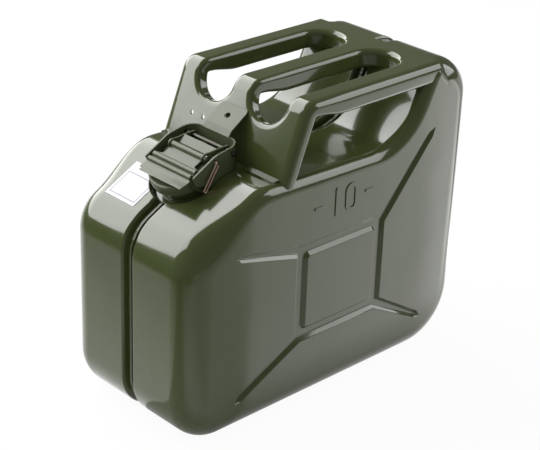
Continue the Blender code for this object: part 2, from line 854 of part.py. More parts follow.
pivot = headed_pin("lever_pin", pivot_pin_radius, pivot_head_radius, pin_head_length,
                   (pivot_x, pivot_z), arm_half_width + clearance)
hinge = headed_pin("hinge_pin", hinge_pin_radius, pin_head_radius, pin_head_length,
                   (hinge_x, hinge_z), yoke_half_width + clearance)
tip(hinge)

# Cam lever: one bent and ribbed sheet, two cheeks with hooks, a barrel for its pin
under = lever_z - lever_sheet
upper = [(lever_front, lever_z + lever_lift), (lever_bend, lever_z)]
lower = [(lever_front, under + lever_lift), (lever_bend, under)]
for rib in lever_ribs:
    upper += arc((rib, lever_z), lever_rib_radius, 180, 0, 6)
    lower += ([(rib - lever_rib_radius + lever_sheet, under)]
              + arc((rib, lever_z), lever_rib_radius - lever_sheet, 180, 0, 4)
              + [(rib + lever_rib_radius - lever_sheet, under)])
end = pivot_x - barrel_radius / 2
upper.append((end, lever_z))
lower.append((end, under))
lever = prism("cam_lever", upper + lower[::-1], lever_tab_half_width, turn=on_side())
step = lever_tab_half_width - lever_half_width
plan = [(lever_front - overrun, -lever_tab_half_width - overrun),
        (lever_bend, -lever_tab_half_width - overrun), (lever_bend + step, -lever_half_width),
        (lever_waist_front, -lever_half_width), (lever_waist_front + lever_sheet, -lever_waist_half_width),
        (pivot_x, -lever_waist_half_width), (pivot_x, lever_waist_half_width),
        (lever_waist_front + lever_sheet, lever_waist_half_width), (lever_waist_front, lever_half_width),
        (lever_bend + step, lever_half_width), (lever_bend, lever_tab_half_width + overrun),
        (lever_front + lever_notch, lever_tab_half_width + overrun),
        (lever_front + lever_notch, lever_tab_half_width - lever_notch),
        (lever_front - overrun, lever_tab_half_width - lever_notch)]
lever = boolean(lever, "INTERSECT", prism("plan", plan, can_height))
cheek = [(cheek_front, lever_z - lever_sheet / 2), (cheek_front + lever_sheet / 2, cheek_shoulder),
         (cheek_throat * 2, hook_low / 2), (hook_tip * 1.6, hook_low - lever_sheet / 2),
         (hook_tip, hook_low), (cheek_throat, hook_low / 2), (cheek_throat, hook_depth),
         (cheek_rear, cheek_shoulder), (cheek_rear, lever_z - lever_sheet / 2)]
extras = []
for side in (-1, 1):
    extras.append(prism("cheek", cheek, lever_sheet / 2,
                        turn=on_side(side * cheek_place)))
extras.append(cylinder("barrel", barrel_radius, (pivot_x, -lever_waist_half_width, pivot_z),
                       (pivot_x, lever_waist_half_width, pivot_z), 28))
lever = boolean(lever, "UNION", *extras)
lever = boolean(lever, "DIFFERENCE", cylinder(
    "bore", pivot_pin_radius + clearance, (pivot_x, -can_depth / 2, pivot_z),
    (pivot_x, can_depth / 2, pivot_z), 24))
lever = move_to_parts(lever, "cam_lever")
for piece in (gasket, seal_plate, lid, bracket, pivot):
    tip(piece)
    set_origin(piece, (hinge_x, 0, hinge_z))
tip(lever)
set_origin(lever, (pivot_x, 0, pivot_z))


def yoke():
    """Strap bent round the closure, its top edge falling to the rear, with a tab to the plate."""
    tilt_x, tilt_z = math.cos(closure_tilt), math.sin(closure_tilt)
    reach = (yoke_depth + yoke_top * tilt_z) / tilt_x + overrun
    rear_top = yoke_top - (reach - yoke_bend) * math.tan(yoke_fall)
    under = yoke_tab_low - 1.8 * yoke_sheet
    start = (yoke_depth - yoke_sheet / 2 + under * tilt_z) / tilt_x
    half, rear, turn = yoke_half_width, yoke_rear_x, yoke_corner_radius
    front_x = neck_x + yoke_front - 2 * overrun
    outer = ([(front_x, -half)] + arc((rear - turn, -half + turn), turn, -90, 0, 6)
             + arc((rear - turn, half - turn), turn, 0, 90, 6) + [(front_x, half)])
    bend = turn - yoke_sheet
    half -= yoke_sheet
    rear -= yoke_sheet
    inner = ([(front_x, -half)] + arc((rear - bend, -half + bend), bend, -90, 0, 6)
             + arc((rear - bend, half - bend), bend, 0, 90, 6) + [(front_x, half)])
    strap = prism("strap", outer + inner[::-1], can_height / 4,
                  turn=Matrix.Translation((0, 0, crest_height)))
    side = [(yoke_front, yoke_front_top), (yoke_bend, yoke_top), (reach, rear_top),
            (reach, -can_depth / 4), (yoke_bend, -can_depth / 4), (yoke_bend, yoke_foot),
            (yoke_foot_front, yoke_foot), (yoke_front_low, yoke_waist / 2), (yoke_front, yoke_waist)]
    mask = prism("mask", side, can_depth / 2, turn=closure_matrix() @ on_side())
    strap = boolean(strap, "INTERSECT", mask)
    tab = [(start, yoke_tab_low), (start + yoke_tab_bend, yoke_tab_high), (start + yoke_tab_end, yoke_tab_tip),
           (start + yoke_tab_end, yoke_tab_tip - yoke_sheet),
           (start + yoke_tab_bend, yoke_tab_high - yoke_sheet), (start, under)]
    tab = prism("tab", tab, yoke_tab_half_width, turn=closure_matrix() @ on_side())
    strap = boolean(strap, "UNION", tab)
    low = foot - rise * can_height - inward * clearance
    high = foot + rise * can_height - inward * clearance
    behind = prism("behind", [tuple(low), (can_length, low.y), (can_length, high.y), tuple(high)],
                   can_depth, turn=on_side())
    strap = boolean(strap, "DIFFERENCE", behind)
    hole = cylinder("hole", yoke_tab_hole_radius, (start + yoke_tab_hole, 0, 0),
                    (start + yoke_tab_hole, 0, can_depth), 20)
    bores = [tip(hole)]
    for x, z, radius, reach in ((hinge_x, hinge_z, hinge_pin_radius + clearance, can_depth),
                                (wire_top_x, wire_top_z, wire_hole_radius, 0)):
        bores.append(tip(cylinder("bore", radius, (x, -can_depth, z), (x, reach, z), 24)))
    strap = boolean(strap, "DIFFERENCE", *bores)
    strap = boolean(strap, "DIFFERENCE", tank_form("form", clearance, seat=True))
    return move_to_parts(strap, "hinge_yoke")


yoke()


def retaining_pin():
    """Hairpin of copper wire through the near cheek of the yoke."""
    along = Vector((wire_low_x - wire_top_x, 0, wire_low_z - wire_top_z)).normalized()
    across = Vector((-along.z, 0, along.x))
    face = -yoke_half_width - wire_reach
    inside = -yoke_half_width + yoke_sheet / 2 + clearance
    top = Vector((wire_top_x, face, wire_top_z))
    low = Vector((wire_low_x, face, wire_low_z))
    bend = wire_gap / 2
    path = [Vector((wire_top_x, inside, wire_top_z)),
            Vector((wire_top_x, face + bend, wire_top_z)), top + along * bend, low]
    for turn in (45, 90, 135):
        angle = math.radians(turn)
        path.append(low + along * bend * math.sin(angle) + across * bend * (1 - math.cos(angle)))
    path += [low + across * wire_gap, top + across * wire_gap + along * bend]
    curve = bpy.data.curves.new("retaining_pin", "CURVE")
    curve.dimensions = "3D"
    curve.bevel_depth = wire_radius
    curve.bevel_resolution = 2
    curve.use_fill_caps = True
    spline = curve.splines.new("POLY")
    spline.points.add(len(path) - 1)
    for point, place in zip(spline.points, path):
        point.co = (*place, 1)
    wire = add_object("retaining_pin", curve)
    wire = add_object("retaining_pin", evaluated(wire, "retaining_pin"))
    tip(wire)
    set_origin(wire, (wire_top_x, -yoke_half_width, wire_top_z))


retaining_pin()
cut = seat_rim_radius + label_cut
label = prism("label", [(label_rear, label_far), (label_front, label_far), (label_front, label_near)]
              + arc((0, 0), cut, 180 - math.degrees(math.asin(label_near / cut)),
                    math.degrees(math.acos(label_rear / cut)), 6),
              label_thickness / 2, group=parts,
              turn=Matrix.Translation((0, 0, label_gap + label_thickness / 2)))
tip(label)

finishes = {
    "tank_half_near": "paint", "tank_half_far": "paint", "seam_weld": "paint", "label": "paper",
    "cap_gasket": "rubber", "retaining_pin": "copper", "lever_pin": "steel", "hinge_pin": "steel",
    "neck_lug_near": "steel", "neck_lug_far": "steel", "seal_plate": "steel"}
materials = {
    "paint": material("olive_paint", olive, 0.28),
    "paper": material("label_paper", white, 0.6),
    "rubber": material("black_rubber", black, 0.8),
    "copper": material("copper_wire", copper, 0.3, 1.0),
    "steel": material("bright_steel", grey, 0.3, 1.0)}
for obj in parts.objects:
    obj.data.materials.clear()
    obj.data.materials.append(materials[finishes.get(obj.name, "paint")])
for obj in list(cutters.objects):
    bpy.data.objects.remove(obj, do_unlink=True)
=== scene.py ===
import math

import bmesh
import bpy
from mathutils import Matrix, Vector


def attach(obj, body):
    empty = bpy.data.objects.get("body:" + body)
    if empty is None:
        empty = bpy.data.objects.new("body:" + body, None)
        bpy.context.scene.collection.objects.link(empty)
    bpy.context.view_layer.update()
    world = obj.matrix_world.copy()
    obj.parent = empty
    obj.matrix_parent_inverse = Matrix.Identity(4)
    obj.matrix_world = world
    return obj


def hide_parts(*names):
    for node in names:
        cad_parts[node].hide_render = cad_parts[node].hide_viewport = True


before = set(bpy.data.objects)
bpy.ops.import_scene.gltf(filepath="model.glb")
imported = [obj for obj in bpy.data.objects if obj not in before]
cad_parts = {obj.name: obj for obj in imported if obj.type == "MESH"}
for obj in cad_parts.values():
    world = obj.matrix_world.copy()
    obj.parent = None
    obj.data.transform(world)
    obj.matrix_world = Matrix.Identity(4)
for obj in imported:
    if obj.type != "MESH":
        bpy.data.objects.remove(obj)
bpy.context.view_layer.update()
bpy.ops.object.select_all(action="DESELECT")
scene = bpy.context.scene
scene.view_settings.view_transform = "Standard"

# Camera: a long lens from the front left and above, fitted to the can's silhouette, seam and
# panel corners in the photograph.
yaw, pitch, roll = math.radians(44.09), math.radians(25.92), math.radians(2.08)
aim, camera_far = Vector((0, 0, 0.14)), 1.4848
slide_right, slide_up = 0.0028, 0.0001
look = Vector((math.sin(yaw) * math.cos(pitch), math.cos(yaw) * math.cos(pitch), -math.sin(pitch)))
level_right = Vector((math.cos(yaw), -math.sin(yaw), 0))
level_up = level_right.cross(look)
right = level_right * math.cos(roll) + level_up * math.sin(roll)
upright = level_up * math.cos(roll) - level_right * math.sin(roll)
stand = aim - look * camera_far - right * slide_right - upright * slide_up
camera_data = bpy.data.cameras.new("camera")
camera_data.sensor_width = 36
camera_data.lens = 107
camera_data.clip_end = 50
camera = bpy.data.objects.new("camera", camera_data)
camera.matrix_world = Matrix.Translation(stand) @ Matrix((right, upright, -look)).transposed().to_4x4()
scene.collection.objects.link(camera)
scene.camera = camera


# Floor: one sheet of matt white board, lit so evenly that it shows as white with a faint shadow.
# Gloss paint sees a painted reflection on it: the board glows for gloss rays only, in a fan that
# grows brighter in steps to the right, with a painted shadow that weakens it at the can's foot
# and painted shade that dims it in front of the narrow side.
def linear(code):
    """sRGB hex to linear RGBA."""
    channels = [int(code[i:i + 2], 16) / 255 for i in (0, 2, 4)]
    return tuple(c / 12.92 if c <= 0.04045 else ((c + 0.055) / 1.055) ** 2.4 for c in channels) + (1.0,)


def new_material(name):
    made = bpy.data.materials.new(name)
    made.use_nodes = True
    return made, made.node_tree, made.node_tree.nodes["Principled BSDF"]


def add_node(tree, kind, links=None, values=None, **settings):
    """Adds a node; settings are properties or named sockets, values are for numbered sockets."""
    node = tree.nodes.new("ShaderNode" + kind)
    for key, value in settings.items():
        if hasattr(node, key):
            setattr(node, key, value)
        else:
            node.inputs[key.replace("_", " ")].default_value = value
    for key, value in (values or {}).items():
        node.inputs[key].default_value = value
    for key, source in (links or {}).items():
        tree.links.new(source, node.inputs[key])
    return node


bpy.ops.mesh.primitive_plane_add(size=14, location=(0, 0, 0))
floor = bpy.context.object
floor.name = "floor"
board, tree, shader = new_material("white_board")
shader.inputs["Base Color"].default_value = linear("F4F4F2")
shader.inputs["Roughness"].default_value = 0.7
ray = add_node(tree, "LightPath")
coords = add_node(tree, "TexCoord")
spot = add_node(tree, "SeparateXYZ", {"Vector": coords.outputs["Object"]})
fan_x, fan_y = -1.20, 1.07  # where the fan spreads from, to the left and far behind the can
# painted light: the board's glow for gloss rays, rising in steps across the fan
fan_steps = (  # share of its turn from -60 to -30 degrees, light there
    (0.447, 0.20), (0.455, 0.38), (0.625, 0.58), (0.655, 0.92), (0.82, 1), (0.92, 0.35))
from_x = add_node(tree, "Math", {0: spot.outputs["X"]}, {1: fan_x}, operation="SUBTRACT")
from_y = add_node(tree, "Math", {0: spot.outputs["Y"]}, {1: fan_y}, operation="SUBTRACT")
bearing = add_node(tree, "Math", {0: from_y.outputs["Value"], 1: from_x.outputs["Value"]},
                   operation="ARCTAN2")
fan = add_node(tree, "MapRange", {"Value": bearing.outputs["Value"]},
               From_Min=math.radians(-60), From_Max=math.radians(-30))
fan_ramp = add_node(tree, "ValToRGB", {"Fac": fan.outputs["Result"]})
for share, light in fan_steps:
    stop = fan_ramp.color_ramp.elements.new(share)
    stop.color = (light, light, light, 1)
fan_ramp.color_ramp.elements[0].color = (0.14, 0.14, 0.14, 1)
fan_ramp.color_ramp.elements[-1].color = (0.35, 0.35, 0.35, 1)
before_narrow = add_node(tree, "MapRange", {"Value": spot.outputs["X"]},
                         From_Min=-0.50, From_Max=-0.20, To_Min=0.03, To_Max=0.38)
diagonal = add_node(tree, "Math", {0: spot.outputs["X"], 1: spot.outputs["Y"]}, operation="SUBTRACT")
wide_side = add_node(tree, "MapRange", {"Value": diagonal.outputs["Value"]}, From_Min=-0.15, From_Max=0.05)
# painted reflection: the fan's glow, dimmed in front of the narrow side by painted shade
painted_reflection_light = add_node(tree, "Mix", {"Factor": wide_side.outputs["Result"],
                                        2: before_narrow.outputs["Result"],
                                        3: fan_ramp.outputs["Color"]}, data_type="FLOAT")
# painted shadow: the glow weakens close to the can's near face, as a shadow at its foot would
full, at_foot = 2.6, 1.0  # strength of the light, and what is left of it close to the near face
foot = add_node(tree, "MapRange", {"Value": spot.outputs["Y"]},
                From_Min=-0.145, From_Max=-0.09, To_Min=full, To_Max=at_foot)
behind = add_node(tree, "Math", {0: spot.outputs["Y"]}, {1: 0.0}, operation="GREATER_THAN")
power = add_node(tree, "Mix", {"Factor": behind.outputs["Value"], 2: foot.outputs["Result"]}, {3: full},
                 data_type="FLOAT")
strength = add_node(tree, "Math", {0: painted_reflection_light.outputs[0], 1: power.outputs[0]}, operation="MULTIPLY")
# the board glows for gloss rays only, as a painted reflection in the can's paint
painted_reflection_glow = add_node(tree, "Emission", {"Strength": strength.outputs["Value"]})
white = add_node(tree, "Emission")
whiter = add_node(tree, "Math", {0: ray.outputs["Is Camera Ray"]}, {1: 0.95}, operation="MULTIPLY")
seen = add_node(tree, "MixShader", {0: whiter.outputs["Value"], 1: shader.outputs["BSDF"],
                                    2: white.outputs["Emission"]})
both = add_node(tree, "MixShader", {0: ray.outputs["Is Glossy Ray"], 1: seen.outputs["Shader"],
                                    2: painted_reflection_glow.outputs["Emission"]})
tree.links.new(both.outputs["Shader"], tree.nodes["Material Output"].inputs["Surface"])
floor.data.materials.append(board)
bpy.ops.object.select_all(action="DESELECT")

# Room: dim and even, and dimmer still where gloss mirrors it; the camera sees it as white as
# the board.
world = bpy.data.worlds.new("room")
scene.world = world
world.use_nodes = True
tree = world.node_tree
back = tree.nodes["Background"]
back.inputs["Color"].default_value = linear("FFFFFF")
ray = add_node(tree, "LightPath")
plain = add_node(tree, "Mix", {"Factor": ray.outputs["Is Glossy Ray"]}, data_type="FLOAT", A=0.42, B=0.16)
seen = add_node(tree, "Mix", {"Factor": ray.outputs["Is Camera Ray"], "A": plain.outputs["Result"]},
                data_type="FLOAT", B=1.0)
tree.links.new(seen.outputs["Result"], back.inputs["Strength"])


# Lamps: a large softbox behind and above gives the broad bright shapes on shoulder, plate and
# grips. One on the right lights the near side, and two cards beside it, which only gloss sees,
# draw the light lines along the walls of the pressed channels.
def softbox(name, direction, distance, width, height, strength, on_matt=True):
    """Rectangular lamp that faces the can from a direction; some only show in gloss."""
    lamp = bpy.data.lights.new(name, "AREA")
    lamp.shape = "RECTANGLE"
    lamp.size, lamp.size_y = width, height
    lamp.energy = strength * math.pi * width * height
    holder = bpy.data.objects.new(name, lamp)
    scene.collection.objects.link(holder)
    way = Vector(direction).normalized()
    facing = way.to_track_quat("Z", "Y").to_matrix().to_4x4()
    holder.matrix_world = Matrix.Translation(aim + way * distance) @ facing
    holder.visible_diffuse = on_matt


softbox("top_box", (-0.229, 0.773, 0.592), 1.65, 2.12, 1.65, 4.8)
softbox("right_box", (0.85, -0.60, 0.55), 2.0, 1.0, 1.0, 3.0)
softbox("right_card", (0.556, -0.393, 0.733), 2.12, 1.0, 0.4, 3.0, False)
softbox("side_card", (0.865, -0.233, 0.444), 2.10, 0.36, 1.0, 3.0, False)


# Paint: glossy olive enamel, sprayed and baked on pressed steel. The film is level and mirrors
# sharply, but the sheet under it waves a little, 71 mm from wave to wave, so reflections wander.
# The colour drifts slightly, over 111 mm.
def mottled(tree, shader, size, detail, dark, light):
    """Base colour that wanders between two shades, in patches of a size in millimetres."""
    coords = add_node(tree, "TexCoord")
    patches = add_node(tree, "TexNoise", {"Vector": coords.outputs["Object"]},
                       Scale=1000 / size, Detail=detail)
    tint = add_node(tree, "Mix", {"Factor": patches.outputs["Fac"]}, {6: linear(dark), 7: linear(light)},
                    data_type="RGBA")
    tree.links.new(tint.outputs[2], shader.inputs["Base Color"])
    return tint


def rippled(tree, shader, size, detail, strength, height):
    """Relief with waves of a size in millimetres; its height is in metres."""
    coords = add_node(tree, "TexCoord")
    waves = add_node(tree, "TexNoise", {"Vector": coords.outputs["Object"]},
                     Scale=1000 / size, Detail=detail)
    bump = add_node(tree, "Bump", {"Height": waves.outputs["Fac"]}, Strength=strength, Distance=height)
    tree.links.new(bump.outputs["Normal"], shader.inputs["Normal"])


enamel, tree, shader = new_material("olive_enamel")
rippled(tree, shader, 71.4, 1.0, 0.25, 0.004)
mottled(tree, shader, 111, 3.0, "3C4524", "444D2A")
shader.inputs["Roughness"].default_value = 0.14
shader.inputs["IOR"].default_value = 1.5
shader.inputs["Coat Weight"].default_value = 0.6
shader.inputs["Coat Roughness"].default_value = 0.04
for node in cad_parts.values():
    node.data.materials.clear()
    node.data.materials.append(enamel)

# Tank halves: two deep-drawn steel pans, alike but mirrored, with a wide rolled edge, a stepped
# flange at the seam, a round seat for the neck, and a framed panel with four channels pressed
# into the face. They are welded at the seam and painted together.
half_length, tank_top = 0.1725, 0.2924
nose_z, scoop_x, scoop_z = 0.186, -0.092, 0.229
wide_roll, tail_roll, scoop_roll = 0.026, 0.023, 0.012
corners = [  # x, z, radius of the corner, radius of the edge to the wide face, which varies
    (-half_length, 0, 0.041, wide_roll), (half_length, 0, 0.058, wide_roll),
    (half_length, tank_top, 0.038, tail_roll), (0.116, tank_top, 0.014, scoop_roll),
    (0.084, 0.225, 0.060, scoop_roll), (scoop_x, scoop_z, 0.045, scoop_roll),
    (-half_length, nose_z, 0.040, wide_roll)]
half_depth, tank_sheet = 0.0825, 0.0009
groove_steps = [  # distance from the seam's plane, depth below the outline
    (0.00015, 0.0080), (0.0030, 0.0080), (0.0042, 0.0078), (0.0052, 0.0070), (0.0058, 0.0056),
    (0.0062, 0.0030), (0.0067, 0.0014), (0.0076, 0.0004), (0.0090, 0.0)]


def deselect():
    if bpy.context.object and bpy.context.object.mode != "OBJECT":
        bpy.ops.object.mode_set(mode="OBJECT")
    bpy.ops.object.select_all(action="DESELECT")


def pick(piece):
    """Makes one piece the only selected and active one."""
    deselect()
    piece.select_set(True)
    bpy.context.view_layer.objects.active = piece
    return piece


def apply_all(piece):
    pick(piece)
    for step in list(piece.modifiers):
        bpy.ops.object.modifier_apply(modifier=step.name)
    return piece


def settle(piece):
    """Puts a piece's place, turn and size into its mesh."""
    pick(piece)
    bpy.ops.object.transform_apply(location=True, rotation=True, scale=True)
    return piece


def paint(piece, finish):
    piece.data.materials.clear()
    piece.data.materials.append(finish)


def boolean(piece, operation, *others):
    """Joins, cuts or keeps with other pieces, which are then removed."""
    for other in others:
        step = piece.modifiers.new(operation, "BOOLEAN")
        step.operation = operation
        step.solver = "MANIFOLD"
        step.object = other
    apply_all(piece)
    for other in others:
        bpy.data.objects.remove(other, do_unlink=True)
    return piece


def face_out(piece, merge=0.00001):
    """Merges doubles and turns the faces outwards."""
    pick(piece)
    bpy.ops.object.mode_set(mode="EDIT")
    bpy.ops.mesh.select_all(action="SELECT")
    bpy.ops.mesh.remove_doubles(threshold=merge)
    bpy.ops.mesh.normals_make_consistent(inside=False)
    bpy.ops.object.mode_set(mode="OBJECT")
    return piece


def smooth(piece, angle=30):
    """Smooth shading with flat faces kept flat between their rounded edges."""
    pick(piece)
    bpy.ops.object.shade_smooth_by_angle(angle=math.radians(angle))
    weigh = piece.modifiers.new("weigh", "WEIGHTED_NORMAL")
    weigh.keep_sharp = True
    weigh.weight = 80
    return apply_all(piece)


def loft(name, rings, cap=True):
    """Skin over rings of points, each ring with as many points."""
    bm = bmesh.new()
    loops = [[bm.verts.new(point) for point in ring] for ring in rings]
    count = len(loops[0])
    for low, high in zip(loops, loops[1:]):
        for i in range(count):
            j = (i + 1) % count
            bm.faces.new((low[i], low[j], high[j], high[i]))
    if cap:
        bm.faces.new(loops[0])
        bm.faces.new(loops[-1])
    bmesh.ops.recalc_face_normals(bm, faces=bm.faces)
    mesh = bpy.data.meshes.new(name)
    bm.to_mesh(mesh)
    bm.free()
    made = bpy.data.objects.new(name, mesh)
    scene.collection.objects.link(made)
    return made


def tank_outline(degrees=3.0, spacing=0.006):
    """Points, inward normals and edge radii round the tank's side view."""
    found = []
    for i, (x, z, radius, edge) in enumerate(corners):
        here = Vector((x, z))
        before = (here - Vector(corners[i - 1][:2])).normalized()
        after = (Vector(corners[(i + 1) % len(corners)][:2]) - here).normalized()
        way = 1 if before.x * after.y - before.y * after.x > 0 else -1
        angle = before.angle(after)
        start = here - before * radius * math.tan(angle / 2)
        centre = start + Vector((-before.y, before.x)) * radius * way
        steps = max(4, round(math.degrees(angle) / degrees))
        for k in range(steps + 1):
            spoke = start - centre
            spoke.rotate(Matrix.Rotation(way * angle * k / steps, 2))
            found.append((centre + spoke, -spoke.normalized() * way, edge))
    filled = []
    for here, there in zip(found, found[1:] + found[:1]):
        filled.append(here)
        pieces = round((there[0] - here[0]).length / spacing)
        for k in range(1, pieces):
            t = k / pieces
            ease = t * t * (3 - 2 * t)
            filled.append((here[0].lerp(there[0], t), here[1].lerp(there[1], t).normalized(),
                           here[2] + (there[2] - here[2]) * ease))
    return filled


outline = tank_outline()


def ring_at(y_of, inset_of):
    """Ring of the tank's skin; its Y and how far it lies inside the outline follow the edge radius."""
    return [(p.x + n.x * inset_of(edge), y_of(edge), p.y + n.y * inset_of(edge)) for p, n, edge in outline]


def half_tank_rings(turns=14):
    """Up the groove's steps and over the rolled edge, whose radius varies, so rings and no bevel."""
    rings = [ring_at(lambda edge: y, lambda edge: inset) for y, inset in groove_steps]
    for k in range(turns + 1):
        turn = math.pi / 2 * k / turns
        rings.append(ring_at(lambda edge: half_depth - edge * (1 - math.sin(turn)),
                             lambda edge: edge * (1 - math.cos(turn))))
    return rings


def rounded(points, radii, steps=6):
    """Polygon with its corners rounded; a radius of zero leaves a corner sharp."""
    made = []
    for i, (x, y) in enumerate(points):
        radius, here = radii[i], Vector((x, y))
        if not radius:
            made.append((x, y))
            continue
        before = (Vector(points[i - 1]) - here).normalized()
        after = (Vector(points[(i + 1) % len(points)]) - here).normalized()
        half_angle = before.angle(after) / 2
        centre = here + (before + after).normalized() * radius / math.sin(half_angle)
        first = here + before * radius / math.tan(half_angle) - centre
        last = here + after * radius / math.tan(half_angle) - centre
        for k in range(steps + 1):
            spoke = first.lerp(last, k / steps)
            made.append(tuple(centre + spoke.normalized() * radius))
    return made


panel_x, panel_z, panel_wide, panel_tall = 0.006, 0.116, 0.084, 0.071
channel_wide, channel_deep, channel_bank, channel_bend = 0.013, 0.0036, 0.0032, 0.0015
arm_ends = ((0.124, 0.235), (0.122, 0.036), (-0.121, 0.032), (-0.122, 0.176))
arm_sections = (  # share of the run, half the flat floor, share of the wall's width, lift
    (0, 0.0030, 1, 0), (0.9, 0.0006, 0.95, 0), (1, 0.0002, 0.35, 0.0020))


def channel_wall():
    """Section of a channel's sloped wall, both edges rounded: distance out, depth."""
    tilt = math.atan2(channel_deep, channel_bank)
    run_in = channel_bend * math.tan(tilt / 2)
    low_x, low_z = -channel_bank - run_in, channel_deep - channel_bend
    wall = [(0.00075, -0.002), (0.00075, -0.00005)]
    wall += [(run_in - channel_bend * math.sin(t), channel_bend * (1 - math.cos(t)))
             for t in (math.radians(12), tilt / 2, tilt)]
    wall += [(low_x + channel_bend * math.sin(t), low_z + channel_bend * math.cos(t))
             for t in (tilt, tilt / 2, 0)]
    return wall


def corner_channel(wall, far_x, far_z):
    """Cutter for a channel from the frame's corner to a far end, where it narrows and runs out."""
    far = Vector((far_x - panel_x, far_z - panel_z))
    start = Vector((math.copysign((panel_wide + channel_wide) / 2, far.x),
                    math.copysign((panel_tall + channel_wide) / 2, far.y)))
    run = far - start
    sections = []
    for share, floor_half, scale, lift in arm_sections:
        x = run.length * share
        side = [(x, floor_half + (out + channel_bank) * scale, max(-0.003, depth * scale - lift))
                for out, depth in wall[1:]]
        side.insert(0, (x, side[0][1], -0.004))
        sections.append([(x, -y, z) for x, y, z in side] + side[::-1])
    arm = loft("arm", sections)
    turned_to_end = Matrix.Rotation(math.atan2(run.y, run.x), 4, "Z")
    arm.data.transform(Matrix.Translation((start.x, start.y, 0)) @ turned_to_end)
    return arm


def face_channels():
    """Cutters for the four corner channels and the frame round the panel."""
    wall = channel_wall()
    cutters = [corner_channel(wall, far_x, far_z) for far_x, far_z in arm_ends]
    rings = []
    for sign, offset, corner, section in ((1, channel_wide, 0.006, wall), (-1, 0, 0.003, wall[::-1])):
        for out, depth in section:
            x = panel_wide / 2 + offset + sign * out
            z = panel_tall / 2 + offset + sign * out
            square = rounded([(x, z), (-x, z), (-x, -z), (x, -z)], [corner + sign * out] * 4, 5)
            rings.append([(a, b, depth) for a, b in square])
    cutters.append(face_out(loft("frame", rings + rings[:1], cap=False)))
    on_face = Matrix.Translation((panel_x, half_depth, panel_z)) @ Matrix.Rotation(math.pi / 2, 4, "X")
    for cutter in cutters:
        cutter.data.transform(on_face)
    return cutters


slope = math.atan2(scoop_z - nose_z, half_length + scoop_x)
neck_x = -0.1068
neck_z = scoop_z + (neck_x - scoop_x) * math.tan(slope)
closure = Matrix.Translation((neck_x, 0, neck_z)) @ Matrix.Rotation(-slope, 4, "Y")
to_closure = closure.inverted()
seat_floor, seat_low, seat_high, seat_round = -0.009, 0.0315, 0.0344, 0.0011
neck_hole, bore_foot = 0.0243, -0.02


def tube_cutter(name, radius_low, radius_high, low, high, sides=96):
    """Round cutter on the neck's axis, which stands square on the shoulder."""
    bpy.ops.mesh.primitive_cone_add(vertices=sides, radius1=radius_low, radius2=radius_high,
                                    depth=high - low, location=(0, 0, (low + high) / 2))
    piece = settle(bpy.context.object)
    piece.name = name
    piece.data.transform(closure)
    return piece


def seat_cutter():
    return tube_cutter("seat", seat_low, seat_high, seat_floor, 0.004)


def from_neck(point):
    """Distance of a point of the tank from the neck's axis, and its height along it."""
    square = to_closure @ point
    return square.xy.length, square.z


def half_tank(name):
    """Solid form with its channels and seat, opened at seam and bore and then given its wall."""
    half = loft(name, half_tank_rings())
    bore = tube_cutter("bore", neck_hole, neck_hole, bore_foot, 0.0)
    boolean(half, "DIFFERENCE", *face_channels(), seat_cutter(), bore)
    bm = bmesh.new()
    bm.from_mesh(half.data)
    rim = []
    for edge in bm.edges:
        radius, height = from_neck(edge.verts[0].co)
        beside_seat = seat_low - 0.0015 < radius < seat_high + 0.0006 and height > bore_foot
        if beside_seat and edge.calc_face_angle(0) > math.radians(24):
            rim.append(edge)
    bmesh.ops.bevel(bm, geom=rim, offset=seat_round, segments=3, profile=0.5, affect="EDGES",
                    clamp_overlap=False)
    bmesh.ops.recalc_face_normals(bm, faces=bm.faces)
    open_faces = []
    for face in bm.faces:
        middle = face.calc_center_median()
        radius, height = from_neck(middle)
        on_seam = abs(face.normal.y) > 0.99 and middle.y < 0.0004
        in_bore = radius < neck_hole + 0.0003 and height < seat_floor - 0.0011
        if on_seam or in_bore:
            open_faces.append(face)
    bmesh.ops.delete(bm, geom=open_faces, context="FACES")
    bm.to_mesh(half.data)
    bm.free()
    wall = half.modifiers.new("wall", "SOLIDIFY")
    wall.thickness = tank_sheet
    wall.offset = -1
    apply_all(half)
    paint(half, enamel)
    return half


far_half = half_tank("far_half")
pick(far_half)
bpy.ops.object.duplicate()
near_half = bpy.context.object
near_half.name = "near_half"
near_half.scale = (1, -1, 1)
settle(near_half)
bm = bmesh.new()
bm.from_mesh(near_half.data)
bmesh.ops.reverse_faces(bm, faces=bm.faces)
bm.to_mesh(near_half.data)
bm.free()


# Raised figures: the capacity in litres, ten, between two dashes, pressed outwards in each wide
# face; each bar is rounded at its ends and stands 0.9 mm proud of the sheet.
def arc(centre, radius, start, end, steps):
    return [(centre[0] + radius * math.cos(math.radians(start + (end - start) * k / steps)),
             centre[1] + radius * math.sin(math.radians(start + (end - start) * k / steps)))
            for k in range(steps + 1)]


def plate(name, points, low, high, place=None):
    """Sheet cut to an outline of X and Y, extruded along Z from low to high, then placed."""
    deselect()
    bpy.ops.mesh.primitive_circle_add(vertices=len(points), radius=0.01, fill_type="NGON", location=(0, 0, 0))
    piece = bpy.context.object
    piece.name = name
    for vert, (x, y) in zip(piece.data.vertices, points):
        vert.co = (x, y, low)
    bpy.ops.object.mode_set(mode="EDIT")
    bpy.ops.mesh.select_all(action="SELECT")
    bpy.ops.mesh.extrude_region_move(TRANSFORM_OT_translate={"value": (0, 0, high - low)})
    bpy.ops.mesh.select_all(action="SELECT")
    bpy.ops.mesh.normals_make_consistent(inside=False)
    bpy.ops.object.mode_set(mode="OBJECT")
    if place is not None:
        piece.data.transform(place)
    return piece


